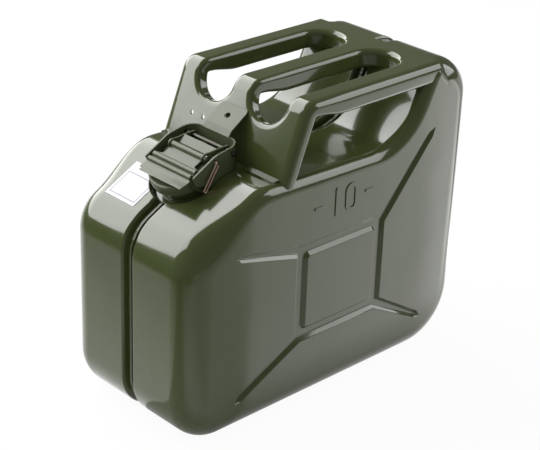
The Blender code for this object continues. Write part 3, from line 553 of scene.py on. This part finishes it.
def eased(piece, width, segments=3, angle=35):
    """Rounds the edges a little, as on sheet that was cut and tumbled."""
    pick(piece)
    bpy.ops.object.mode_set(mode="EDIT")
    bpy.ops.mesh.select_all(action="SELECT")
    bpy.ops.mesh.dissolve_limited(angle_limit=math.radians(1))
    bpy.ops.object.mode_set(mode="OBJECT")
    step = piece.modifiers.new("ease", "BEVEL")
    step.width = width
    step.segments = segments
    step.limit_method = "ANGLE"
    step.angle_limit = math.radians(angle)
    return apply_all(piece)


figure_tall, figure_stroke, figure_proud, figure_sunk = 0.0275, 0.0034, 0.0009, -0.0004
zero_x, zero_wide, one_x, dash_x, dash_wide, dash_stroke = 0.0085, 0.0150, -0.0100, 0.0315, 0.0115, 0.0030


def raised_bar(x, wide, tall):
    """Round-ended bar of a figure."""
    end = min(wide, tall) / 2
    half_x, half_z = wide / 2 - end, tall / 2 - end
    points = []
    for sign_x, sign_z, start in ((1, 1, 0), (-1, 1, 90), (-1, -1, 180), (1, -1, 270)):
        points += arc((x + sign_x * half_x, sign_z * half_z), end, start, start + 90, 6)
    return plate("bar", points[:-1], figure_sunk, figure_proud)


def figures(place):
    bars = [raised_bar(-dash_x, dash_wide, dash_stroke), raised_bar(dash_x, dash_wide, dash_stroke),
            raised_bar(one_x, figure_stroke, figure_tall)]
    rings = []
    for inset, low, high in ((0, figure_sunk, figure_proud), (figure_stroke, -0.0010, 0.0020)):
        end, half_z = zero_wide / 2 - inset, (figure_tall - zero_wide) / 2
        ring = arc((zero_x, half_z), end, 0, 180, 16) + arc((zero_x, -half_z), end, 180, 360, 16)
        rings.append(plate("ring", ring, low, high))
    bars.append(boolean(rings[0], "DIFFERENCE", rings[1]))
    for bar in bars:
        eased(bar, 0.0006, 3, 50)
        bar.data.transform(place)
        smooth(bar, 30)
        paint(bar, enamel)
    return bars


figures_x, figures_z = 0.0065, 0.1945
stood_up = Matrix.Rotation(math.pi / 2, 4, "X")
on_near = Matrix.Translation((figures_x, -half_depth, figures_z)) @ stood_up
on_far = (Matrix.Translation((figures_x, half_depth, figures_z)) @ Matrix.Rotation(math.pi, 4, "Z")
          @ stood_up)
for half, node, place in ((far_half, "tank_half_far", on_far), (near_half, "tank_half_near", on_near)):
    bars = figures(place)
    smooth(half, 30)
    pick(half)
    for bar in bars:
        bar.select_set(True)
    bpy.ops.object.join()
    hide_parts(node)
    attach(half, "can")

# Handle: a pressed steel front plate that rolls over into three grips and runs into a rear bridge
# on the can's top, welded on by flanges at its foot. It is modelled flat, slots cut and rims
# rolled, and then bent over the line; plate and bridge are open behind.
handle_half, plate_foot, plate_top, crest_z, can_top = 0.081, -0.066, -0.041, 0.229, 0.294
band, handle_sheet, roll_radius = 0.019, 0.0018, 0.016
grip_wide, grip_round, rim_round = 0.0245, 0.0088, 0.0052
slot_half = (handle_half - 1.5 * grip_wide) / 2
slot_rear, bridge_end, slot_low, deepen = 0.109, 0.126, 0.0402, 0.035
rise = Vector((plate_top - plate_foot, can_top - crest_z))
plate_slant = rise.length
rise.normalize()
inward = Vector((rise.y, -rise.x))
lean = rise.angle(Vector((1, 0)))
plate_run = plate_slant - roll_radius * math.tan(lean / 2)
roll_run = roll_radius * lean
top_x = plate_top + roll_radius * math.tan(lean / 2)


def bent(along, y, depth):
    """Place on the handle of a point of the flat slab: distance up from the foot, Y, depth."""
    ease = min(1, max(0, (along - plate_run - roll_run) / deepen))
    depth *= 0.74 + 0.26 * ease * ease * (3 - 2 * ease)
    if along < plate_run:
        x, z = Vector((plate_foot, crest_z)) + rise * along + inward * depth
    elif along < plate_run + roll_run:
        angle = math.pi / 2 + lean - (along - plate_run) / roll_radius
        x = top_x + (roll_radius - depth) * math.cos(angle)
        z = can_top - roll_radius + (roll_radius - depth) * math.sin(angle)
    else:
        x, z = top_x + along - plate_run - roll_run, can_top - depth
    return x, y, z


def handle_slab(name, start, end, inset, deep, foot_round):
    """Flat slab between two stations with the slots cut and rolled, then bent over the line."""
    half_wide, outer = handle_half - inset, grip_round - inset
    ring = (arc((half_wide - outer, -inset - outer), outer, 0, 90, 8)
            + arc((-half_wide + outer, -inset - outer), outer, 90, 180, 8))
    if foot_round:
        ring += (arc((-half_wide + foot_round, -deep + foot_round), foot_round, 180, 270, 4)
                 + arc((half_wide - foot_round, -deep + foot_round), foot_round, 270, 360, 4))
    else:
        ring += [(-half_wide, -deep), (half_wide, -deep)]
    slab = loft(name, [[(s, y, z) for y, z in ring] for s in (start, end)])
    rear = slot_rear - top_x + plate_run + roll_run - slot_half
    slot = (arc((rear, 0), slot_half + inset, -90, 90, 28)
            + arc((slot_low + slot_half, 0), slot_half + inset, 90, 270, 28))
    for sign in (-1, 1):
        to_side = Matrix.Translation((0, sign * (grip_wide / 2 + slot_half), 0))
        boolean(slab, "DIFFERENCE", plate("slot", slot, -0.05, 0.02, to_side))
    bm = bmesh.new()
    bm.from_mesh(slab.data)
    rims = [e for e in bm.edges if len(e.link_faces) == 2
            and start + 0.0001 < e.verts[0].co.x < end - 0.0001
            and abs(e.verts[0].co.y) < handle_half - grip_wide / 2
            and abs(e.link_faces[0].normal.z) + abs(e.link_faces[1].normal.z) > 0.99
            and min(abs(e.link_faces[0].normal.z), abs(e.link_faces[1].normal.z)) < 0.1
            and (foot_round or e.verts[0].co.z > -deep / 2)]
    bmesh.ops.bevel(bm, geom=rims, offset=rim_round - inset, segments=5, profile=0.5, affect="EDGES",
                    clamp_overlap=False)
    stations = [plate_run + roll_run * k / 14 for k in range(15)]
    stations += [plate_run + roll_run + deepen * k / 7 for k in range(1, 8)]
    for station in stations:
        if start < station < end:
            bmesh.ops.bisect_plane(bm, geom=bm.verts[:] + bm.edges[:] + bm.faces[:], dist=0.000001,
                                   plane_co=(station, 0, 0), plane_no=(1, 0, 0))
    for vert in bm.verts:
        vert.co = bent(vert.co.x, vert.co.y, -vert.co.z)
    bm.to_mesh(slab.data)
    bm.free()
    return face_out(slab)


def tank_form(grow, turns=12):
    """The whole outside of the tank, without its groove, to trim other pieces by."""
    rings = []
    for sign in (-1, 1):
        for k in (range(turns, -1, -1) if sign < 0 else range(turns + 1)):
            turn = math.pi / 2 * k / turns
            rings.append(ring_at(
                lambda edge: sign * (half_depth - edge * (1 - math.sin(turn)) + grow * math.sin(turn)),
                lambda edge: edge * (1 - math.cos(turn)) - grow * math.cos(turn)))
    return loft("form", rings)


slab_start, slab_end = -0.028, bridge_end - top_x + plate_run + roll_run
handle = handle_slab("handle_skin", slab_start, slab_end, 0, band, 0.0045)
for low, high in ((slab_start - 0.006, plate_run + 0.012), (slab_end - 0.042, slab_end + 0.005)):
    boolean(handle, "DIFFERENCE", handle_slab("hollow", low, high, handle_sheet, band + 0.0015, 0))
hole_radius, hole_z = 0.002, 0.251
for hole_y in (0.035, 0.050):
    through_plate = (Matrix.Translation((plate_foot + 0.0085, hole_y, hole_z))
                     @ Matrix.Rotation(math.pi / 2, 4, "Y"))
    hole = plate("hole", arc((0, 0), hole_radius, 0, 345, 23), -0.02, 0.02, through_plate)
    boolean(handle, "DIFFERENCE", hole)
flange_front, flange_rear, flange_inner, flange_outer = -0.0735, -0.062, 0.036, 0.073
flange_rise, clearance = 0.0016, 0.0003
for sign in (-1, 1):
    strip = [(flange_front, sign * flange_inner), (flange_rear, sign * flange_inner),
             (flange_rear, sign * flange_outer), (flange_front, sign * flange_outer)]
    flange = boolean(tank_form(flange_rise), "INTERSECT", plate("strip", strip, 0.2, 0.26))
    boolean(handle, "UNION", flange)
boolean(handle, "DIFFERENCE", tank_form(clearance))
paint(handle, enamel)
smooth(handle, 32)
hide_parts("handle_front_plate", "handle_rear_bridge", "grip_near", "grip_middle", "grip_far")
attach(handle, "can")


# Neck and collar: a drawn steel tube with a rolled lip, standing in the round seat on a flat
# pressed collar; both are welded in before the can is painted, so they carry the same enamel.
def turned(name, profile, sides=96):
    """Profile of radii and heights, extruded ring by ring round the axis; closed unless it starts on it."""
    least = 0.00001
    radius, height = max(profile[0][0], least), profile[0][1]
    deselect()
    bpy.ops.mesh.primitive_circle_add(vertices=sides, radius=radius, location=(0, 0, height))
    piece = settle(bpy.context.object)
    piece.name = name
    bpy.ops.object.mode_set(mode="EDIT")
    bpy.ops.mesh.select_all(action="SELECT")
    rest = profile[1:] + (profile[:1] if profile[0][0] else [])
    for wide, high in rest:
        wide = max(wide, least)
        bpy.ops.mesh.extrude_edges_move(TRANSFORM_OT_translate={"value": (0, 0, high - height)})
        bpy.ops.transform.resize(value=(wide / radius, wide / radius, 1), center_override=(0, 0, high))
        radius, height = wide, high
    bpy.ops.object.mode_set(mode="OBJECT")
    return face_out(piece, 0.00004)


def in_place(piece, node, body, finish, angle=35):
    """Tips a piece made square to the neck, paints and smooths it, and sets it in for its node."""
    piece.data.transform(closure)
    paint(piece, finish)
    smooth(piece, angle)
    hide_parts(node)
    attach(piece, body)


neck_inner, neck_outer, neck_top, neck_foot = 0.0225, 0.0240, 0.0075, -0.0150
neck = turned("neck", [(neck_inner, neck_top)] + arc((0.0242, 0.0067), 0.0008, 90, -90, 6)
              + [(neck_outer, 0.0057), (neck_outer, neck_foot), (neck_inner, neck_foot)])
in_place(neck, "filler_neck", "can", enamel)
collar_inner, collar_foot = 0.0243, -0.0087
collar = turned("collar", [(collar_inner, -0.0057)] + arc((0.0252, -0.0063), 0.0006, 90, 0, 4)
                + [(0.0258, -0.0066)] + arc((0.0262, -0.0068), 0.0004, 180, 270, 3)
                + arc((0.0301, -0.0076), 0.0004, 90, 0, 3)
                + [(0.0305, collar_foot), (collar_inner, collar_foot)])
in_place(collar, "neck_collar", "can", enamel)


# Vent: a thin steel tube inside the neck, open at both ends, soldered in. Like the other small
# bright parts it is zinc-plated and tumbled, which leaves a fine uneven sheen. The real grain is
# too fine to show, so it is drawn 1.1 mm wide.
def uneven_gloss(tree, shader, size, detail, low, high):
    """Roughness between two values, in spots of a size in millimetres."""
    coords = add_node(tree, "TexCoord")
    grain = add_node(tree, "TexNoise", {"Vector": coords.outputs["Object"]}, Scale=1000 / size, Detail=detail)
    span = add_node(tree, "MapRange", {"Value": grain.outputs["Fac"]}, To_Min=low, To_Max=high)
    tree.links.new(span.outputs["Result"], shader.inputs["Roughness"])


steel, tree, shader = new_material("zinc_plated_steel")
uneven_gloss(tree, shader, 1.11, 3.0, 0.14, 0.30)
shader.inputs["Base Color"].default_value = linear("D9D8D2")
shader.inputs["Metallic"].default_value = 1.0
vent_x, vent_inner, vent_outer, vent_top, vent_foot = 0.0182, 0.0032, 0.0040, 0.003, -0.030
vent = turned("vent", [(vent_inner, vent_top), (vent_outer, vent_top), (vent_outer, vent_foot),
                       (vent_inner, vent_foot)], 40)
vent.data.transform(Matrix.Translation((vent_x, 0, 0)))
in_place(vent, "vent_tube", "can", steel)

# Lid: drawn steel with a rounded edge and a rolled skirt, cut away on each side where the
# lever's cheeks pass. The closure's parts are sprayed apart from the can, with a thinner coat of
# the same olive, duller and dimpled like an orange's skin, and uneven in shade every 17 mm.
thin_enamel, tree, shader = new_material("thin_olive_enamel")
rippled(tree, shader, 3.85, 2.0, 0.12, 0.0006)  # real dimples of about 2 mm, drawn coarser to show
mottled(tree, shader, 16.7, 3.0, "454D32", "505740")
shader.inputs["Roughness"].default_value = 0.30
shader.inputs["IOR"].default_value = 1.5
lid_crown, lid_top, lid_under = 0.0149, 0.0145, 0.0133
skirt_foot, skirt_outer, skirt_inner = 0.0054, 0.0298, 0.0286
edge_at = (0.0274, 0.0121)
lid = turned("lid", [(0, lid_crown), (0.008, lid_crown), (0.016, 0.0147), (0.023, lid_top),
                     (edge_at[0], lid_top)]
             + arc(edge_at, 0.0024, 80, 0, 8) + [(skirt_outer, skirt_foot)]
             + arc((0.0292, skirt_foot), 0.0006, -30, -180, 5) + [(skirt_inner, 0.0121)]
             + arc(edge_at, 0.0012, 20, 90, 4) + [(0, lid_under)])
notch_rear, notch_inner, past_lid = 0.0059, 0.0257, 0.034
for sign in (-1, 1):
    notch = [(-past_lid, sign * notch_inner), (notch_rear, sign * notch_inner),
             (notch_rear, sign * past_lid), (-past_lid, sign * past_lid)]
    boolean(lid, "DIFFERENCE", plate("notch", notch, 0.0, 0.0185))
eased(lid, 0.00035, 2, 60)
in_place(lid, "cap_lid", "cap", thin_enamel)

# Gasket and seal disc: a moulded black rubber ring, matt, with dust in spots of 3 mm, held
# inside the lid by a zinc-plated steel disc.
rubber, tree, shader = new_material("black_rubber")
mottled(tree, shader, 3.33, 4.0, "161616", "262624")
shader.inputs["Roughness"].default_value = 0.62
gasket_inner, gasket_outer, gasket_foot, gasket_top = 0.0195, 0.0254, 0.0078, 0.0101
gasket = turned("gasket", rounded([(gasket_inner, gasket_foot), (gasket_outer, gasket_foot),
                                   (gasket_outer, gasket_top), (gasket_inner, gasket_top)], [0.0008] * 4, 4))
in_place(gasket, "cap_gasket", "cap", rubber)
disc = turned("seal_disc", [(0, 0.0130), (gasket_outer, 0.0130), (gasket_outer, 0.0104), (0.0192, 0.0104),
                            (0.0192, 0.0080), (0.0186, 0.0074), (0, 0.0074)])
in_place(disc, "seal_plate", "cap", steel)

# Bracket: a steel strap welded on the lid, its two arms bored for the hinge rivet and the
# lever's rivet; it carries the closure's thin coat.
sideways = Matrix.Rotation(math.pi / 2, 4, "X")


def drill(piece, centre, radius, low=-0.05, high=0.05, place=sideways):
    """Round hole from low to high, which runs sideways unless it is placed otherwise."""
    boolean(piece, "DIFFERENCE", plate("hole", arc(centre, radius, 0, 350, 35), low, high, place))


hinge_at, hinge_bore, lever_at, lever_bore = (0.034, 0.009), 0.0023, (0.0123, 0.0184), 0.0018
bracket_y, bracket_sheet = 0.02145, 0.0015
arm_outline = ([(0.0225, 0.0148), (0.0290, 0.0080)] + arc(hinge_at, 0.0042, 235, 390, 16)
               + [(0.0270, 0.0163), (0.0200, 0.0190)] + arc(lever_at, 0.0042, 50, 235, 18))
near_arm, far_arm = (plate(name, arm_outline, -bracket_sheet / 2, bracket_sheet / 2,
                           Matrix.Translation((0, y, 0)) @ sideways)
                     for name, y in (("bracket", -bracket_y), ("arm", bracket_y)))
base = [(0.0175, -0.0215), (0.027, -0.0215), (0.027, 0.0215), (0.0175, 0.0215)]
bracket = boolean(near_arm, "UNION", plate("base", base, 0.01505, 0.01625), far_arm)
drill(bracket, hinge_at, hinge_bore)
drill(bracket, lever_at, lever_bore)
eased(bracket, 0.0003, 2, 50)
in_place(bracket, "cap_bracket", "cap", thin_enamel)


# Rivets: steel pins with a domed head outside each plate, one for the lever in the bracket, zinc
# plated, and one for the hinge in the yoke. That one is phosphated, which leaves a dull dark grey
# whose fine crystals are drawn 1.4 mm wide to show.
def rivet(name, centre, radius, head, inner, length):
    crown = [(head * math.sin(t), inner + length * (0.35 + 0.65 * math.cos(t)))
             for t in (math.pi / 2 * k / 6 for k in range(1, 7))]
    line = [(0, inner + length)] + crown + [(head, inner + 0.0002), (head - 0.0002, inner), (radius, inner)]
    piece = turned(name, line + [(r, -y) for r, y in line[::-1]], 40)
    piece.data.transform(Matrix.Translation((centre[0], 0, centre[1])) @ sideways)
    return piece


phosphated, tree, shader = new_material("phosphated_steel")
uneven_gloss(tree, shader, 1.43, 3.0, 0.40, 0.60)
shader.inputs["Base Color"].default_value = linear("55554F")
shader.inputs["Metallic"].default_value = 1.0
hinge_rivet = rivet("hinge_rivet", hinge_at, 0.002, 0.0034, 0.0323, 0.0014)
in_place(hinge_rivet, "hinge_pin", "can", phosphated)
lever_rivet = rivet("lever_rivet", lever_at, 0.0015, 0.0027, 0.0225, 0.0014)
in_place(lever_rivet, "lever_pin", "cap", steel)

# Cam lever: one pressed steel sheet, its front edge turned up, two ribs across it, waisted ahead
# of the barrel that turns on the rivet; a hooked cheek hangs down on each side. It carries the
# closure's thin coat.
top, sheet, lever_half, cheek_y = 0.0182, 0.0015, 0.0288, 0.0266
barrel_at, barrel_radius, barrel_half = (lever_at[0], top + 0.0002), 0.0030, 0.0200
boss_at, boss_radius, boss_y = (-0.0078, 0.0105), 0.0030, 0.0270
upper, lower = [], []
for x, lift in ((-0.0255, 0.0020), (-0.0225, 0.0013), (-0.0190, 0.0004), (-0.0160, 0)):
    upper.append((x, top + lift))
    lower.append((x + 0.0003, top + lift - sheet))
for rib in (-0.0102, -0.0041):
    upper += ([(rib - 0.0030, top), (rib - 0.0028, top + 0.0001)] + arc((rib, top), 0.0027, 165, 15, 12)
              + [(rib + 0.0028, top + 0.0001), (rib + 0.0030, top)])
    lower += ([(rib - 0.0014, top - sheet)] + arc((rib, top - sheet), 0.0013, 165, 15, 8)
              + [(rib + 0.0014, top - sheet)])
upper.append((0.0110, top))
lower.append((0.0110, top - sheet))
lever = plate("lever", upper + lower[::-1], -lever_half, lever_half, sideways)
plan = rounded([(-0.030, -lever_half), (-0.0140, -lever_half), (-0.0131, -0.0275), (-0.0012, -0.0275),
                (0.0002, -barrel_half), (0.0118, -barrel_half), (0.0118, barrel_half), (0.0002, barrel_half),
                (-0.0012, 0.0275), (-0.0131, 0.0275), (-0.0140, lever_half), (-0.0215, lever_half),
                (-0.0215, 0.0248), (-0.030, 0.0248)],
               [0, 0.0006, 0.0006, 0.0012, 0.0012, 0, 0, 0.0012, 0.0012, 0.0006, 0.0006, 0.0008, 0.001, 0])
boolean(lever, "INTERSECT", plate("plan", plan, 0.0, 0.03))
cheek = rounded([(-0.0140, 0.0175), (-0.0133, 0.008), (-0.0088, -0.0015), (-0.0061, -0.00375),
                 (-0.0038, -0.0030), (-0.0044, -0.0015), (-0.0044, 0.0040), (-0.0015, 0.008),
                 (-0.0015, 0.0175)],
                [0, 0.002, 0.0015, 0.0006, 0.0004, 0.0004, 0.0012, 0.0014, 0], 4)
for sign in (-1, 1):
    side_plate = plate("cheek", cheek, -sheet / 2, sheet / 2,
                       Matrix.Translation((0, sign * cheek_y, 0)) @ sideways)
    boss = plate("boss", arc(boss_at, boss_radius, 0, 350, 35), -0.0010, 0.0010,
                 Matrix.Translation((0, sign * boss_y, 0)) @ sideways)
    boolean(lever, "UNION", side_plate, boss)
barrel = plate("barrel", arc(barrel_at, barrel_radius, 0, 352, 44), -barrel_half, barrel_half, sideways)
boolean(lever, "UNION", barrel)
drill(lever, barrel_at, lever_bore)
eased(lever, 0.0003, 2, 50)
in_place(lever, "cam_lever", "lever", thin_enamel)

# Lugs: short turned and zinc-plated studs with a flat head, riveted in the sides of the neck for
# the lever's hooks.
stud_radius, stud_head, stud_root, stud_neck, stud_end = 0.0024, 0.0032, 0.0243, 0.0278, 0.0290
lug_x, lug_z = -0.001, 0.001
for sign, word in ((-1, "near"), (1, "far")):
    lug = turned("lug_" + word, [(0, stud_root), (stud_radius, stud_root), (stud_radius, stud_neck),
                                 (0.0030, stud_neck), (stud_head, 0.0280), (stud_head, 0.0287),
                                 (0.0029, stud_end), (0, stud_end)], 40)
    lug.data.transform(Matrix.Translation((lug_x, 0, lug_z)) @ Matrix.Rotation(-sign * math.pi / 2, 4, "X"))
    in_place(lug, "neck_lug_" + word, "can", steel)

# Yoke: one steel strap bent round the closure in a U and welded down; its top edge falls to
# the rear, where a holed tab runs up to the handle's plate. It carries the closure's thin coat.
yoke_half, yoke_rear, yoke_corner, strap_sheet, strap_front = 0.032, 0.0348, 0.013, 0.0015, -0.03
bend_x, bend_y = yoke_rear - yoke_corner, yoke_half - yoke_corner
strap = []
for inset in (0, strap_sheet):
    strap.append([(strap_front, inset - yoke_half)]
                 + arc((bend_x, -bend_y), yoke_corner - inset, -90, 0, 14)
                 + arc((bend_x, bend_y), yoke_corner - inset, 0, 90, 14) + [(strap_front, yoke_half - inset)])
yoke = plate("yoke", strap[0] + strap[1][::-1], 0.19, 0.29, Matrix.Translation((neck_x, 0, 0)))
side_view = rounded([(-0.0116, 0.0204), (0.0173, 0.0210), (0.056, 0.0083), (0.056, -0.04), (0.0173, -0.04),
                     (0.0173, -0.0055), (0.0030, -0.0055), (-0.0050, 0.0055), (-0.0116, 0.0110)],
                    [0.002, 0.02, 0, 0, 0, 0, 0.004, 0.004, 0.002])
boolean(yoke, "INTERSECT", plate("mask", side_view, -0.05, 0.05, closure @ sideways))
tab_half, tab_hole = 0.0165, 0.003
tab_side = rounded([(0.0437, 0.0093), (0.0437, 0.0120), (0.0500, 0.0150), (0.0752, 0.0177), (0.0752, 0.0162),
                    (0.0500, 0.0135)], [0, 0.001, 0.003, 0, 0, 0.0045], 5)
tab = plate("tab", tab_side, -tab_half, tab_half, sideways)
tab_plan = rounded([(0.040, -tab_half), (0.0760, -tab_half), (0.0760, tab_half), (0.040, tab_half)],
                   [0, 0.007, 0.007, 0], 8)
boolean(tab, "INTERSECT", plate("plan", tab_plan, 0.0, 0.03))
drill(tab, (0.0616, 0), tab_hole, 0.0, 0.03, None)
tab.data.transform(closure)
boolean(yoke, "UNION", tab)
pin_at, pin_bore = (0.0145, 0.0170), 0.0015
drill(yoke, hinge_at, hinge_bore, place=closure @ sideways)
drill(yoke, pin_at, pin_bore, low=0.0, place=closure @ sideways)
front = Vector((plate_foot, crest_z)) - inward * clearance
low_end, high_end = front - rise * 0.05, front + rise * 0.08
behind_plate = [tuple(low_end), (0.1, low_end.y), (0.1, high_end.y), tuple(high_end)]
boolean(yoke, "DIFFERENCE", plate("behind", behind_plate, -0.1, 0.1, sideways))
boolean(yoke, "DIFFERENCE", boolean(tank_form(clearance), "DIFFERENCE", seat_cutter()))
eased(yoke, 0.0003, 2, 50)
paint(yoke, thin_enamel)
smooth(yoke, 35)
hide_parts("hinge_yoke")
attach(yoke, "can")

# Retaining pin: a hairpin of hard steel wire, copper-plated, one leg through the yoke's near
# cheek. Drawing leaves the plating bright and faintly streaked; the streaks are too fine to show
# and are drawn as spots of 1.4 mm.
copper, tree, shader = new_material("copper_plated_wire")
mottled(tree, shader, 1.43, 2.0, "F8E2D2", "EBC2A6")
shader.inputs["Metallic"].default_value = 1.0
shader.inputs["Roughness"].default_value = 0.24
wire_radius, face_y, inner_y, gap, bend = 0.0009, -0.0342, -0.03095, 0.0032, 0.0016
high_point, low_point = Vector((pin_at[0], face_y, pin_at[1])), Vector((-0.0080, face_y, 0.0040))
down = (low_point - high_point).normalized()
over = Vector((-down.z, 0, down.x))
outward = Vector((0, -1, 0))
knee = high_point - outward * bend
route = [Vector((pin_at[0], inner_y, pin_at[1]))]
for k in range(7):
    turn = math.radians(15 * k)
    route.append(knee + outward * bend * math.sin(turn) + down * bend * (1 - math.cos(turn)))
for k in range(13):
    turn = math.radians(15 * k)
    route.append(low_point + down * bend * math.sin(turn) + over * bend * (1 - math.cos(turn)))
route.append(high_point + over * gap + down * bend)
wire_curve = bpy.data.curves.new("hairpin", "CURVE")
wire_curve.dimensions = "3D"
wire_curve.bevel_depth = wire_radius
wire_curve.bevel_resolution = 5
wire_curve.use_fill_caps = True
spline = wire_curve.splines.new("POLY")
spline.points.add(len(route) - 1)
for point, here in zip(spline.points, route):
    point.co = (*here, 1)
hairpin = bpy.data.objects.new("hairpin", wire_curve)
scene.collection.objects.link(hairpin)
pick(hairpin)
bpy.ops.object.convert(target="MESH")
hairpin = bpy.context.object
in_place(face_out(hairpin, 0.000001), "retaining_pin", "pin_wire", copper, 60)

# Label: a plain white vinyl sticker with a thin printed frame, stuck on the far shoulder beside
# the closure. The film is smooth, slightly soft in gloss and cloudy in spots of 2 mm.
label_x, label_y, frame_half_x, frame_half_y, ink_half = -0.0340, 0.0370, 0.0125, 0.0165, 0.0005
vinyl, tree, shader = new_material("white_vinyl")
coords = add_node(tree, "TexCoord")
square = add_node(tree, "Mapping", {"Vector": coords.outputs["Object"]})
square.inputs["Location"].default_value = to_closure.translation
square.inputs["Rotation"].default_value = to_closure.to_euler()
split = add_node(tree, "SeparateXYZ", {"Vector": square.outputs["Vector"]})
past = []
for axis, middle, half_size in (("X", label_x, frame_half_x), ("Y", label_y, frame_half_y)):
    off = add_node(tree, "Math", {0: split.outputs[axis]}, {1: middle}, operation="SUBTRACT")
    size = add_node(tree, "Math", {0: off.outputs["Value"]}, operation="ABSOLUTE")
    past.append(add_node(tree, "Math", {0: size.outputs["Value"]}, {1: half_size}, operation="SUBTRACT"))
edge = add_node(tree, "Math", {0: past[0].outputs["Value"], 1: past[1].outputs["Value"]}, operation="MAXIMUM")
away = add_node(tree, "Math", {0: edge.outputs["Value"]}, operation="ABSOLUTE")
line = add_node(tree, "Math", {0: away.outputs["Value"]}, {1: ink_half}, operation="LESS_THAN")
film = mottled(tree, shader, 2.0, 3.0, "CFCFD8", "DADAE0")
ink = add_node(tree, "Mix", {"Factor": line.outputs["Value"], 6: film.outputs[2]}, {7: linear("85858F")},
               data_type="RGBA")
tree.links.new(ink.outputs[2], shader.inputs["Base Color"])
shader.inputs["Roughness"].default_value = 0.36
paint(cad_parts["label"], vinyl)

# Weld: the seam between the halves, a narrow welded bead under the same paint, which sinks into
# it unevenly, in shades 17 mm apart. Its ripple of 3 mm is left by the wheels of the machine.
bead, tree, shader = new_material("painted_weld_bead")
rippled(tree, shader, 3.03, 2.0, 0.6, 0.0012)
mottled(tree, shader, 16.7, 3.0, "343C22", "414A2B")
shader.inputs["Roughness"].default_value = 0.24
paint(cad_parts["seam_weld"], bead)
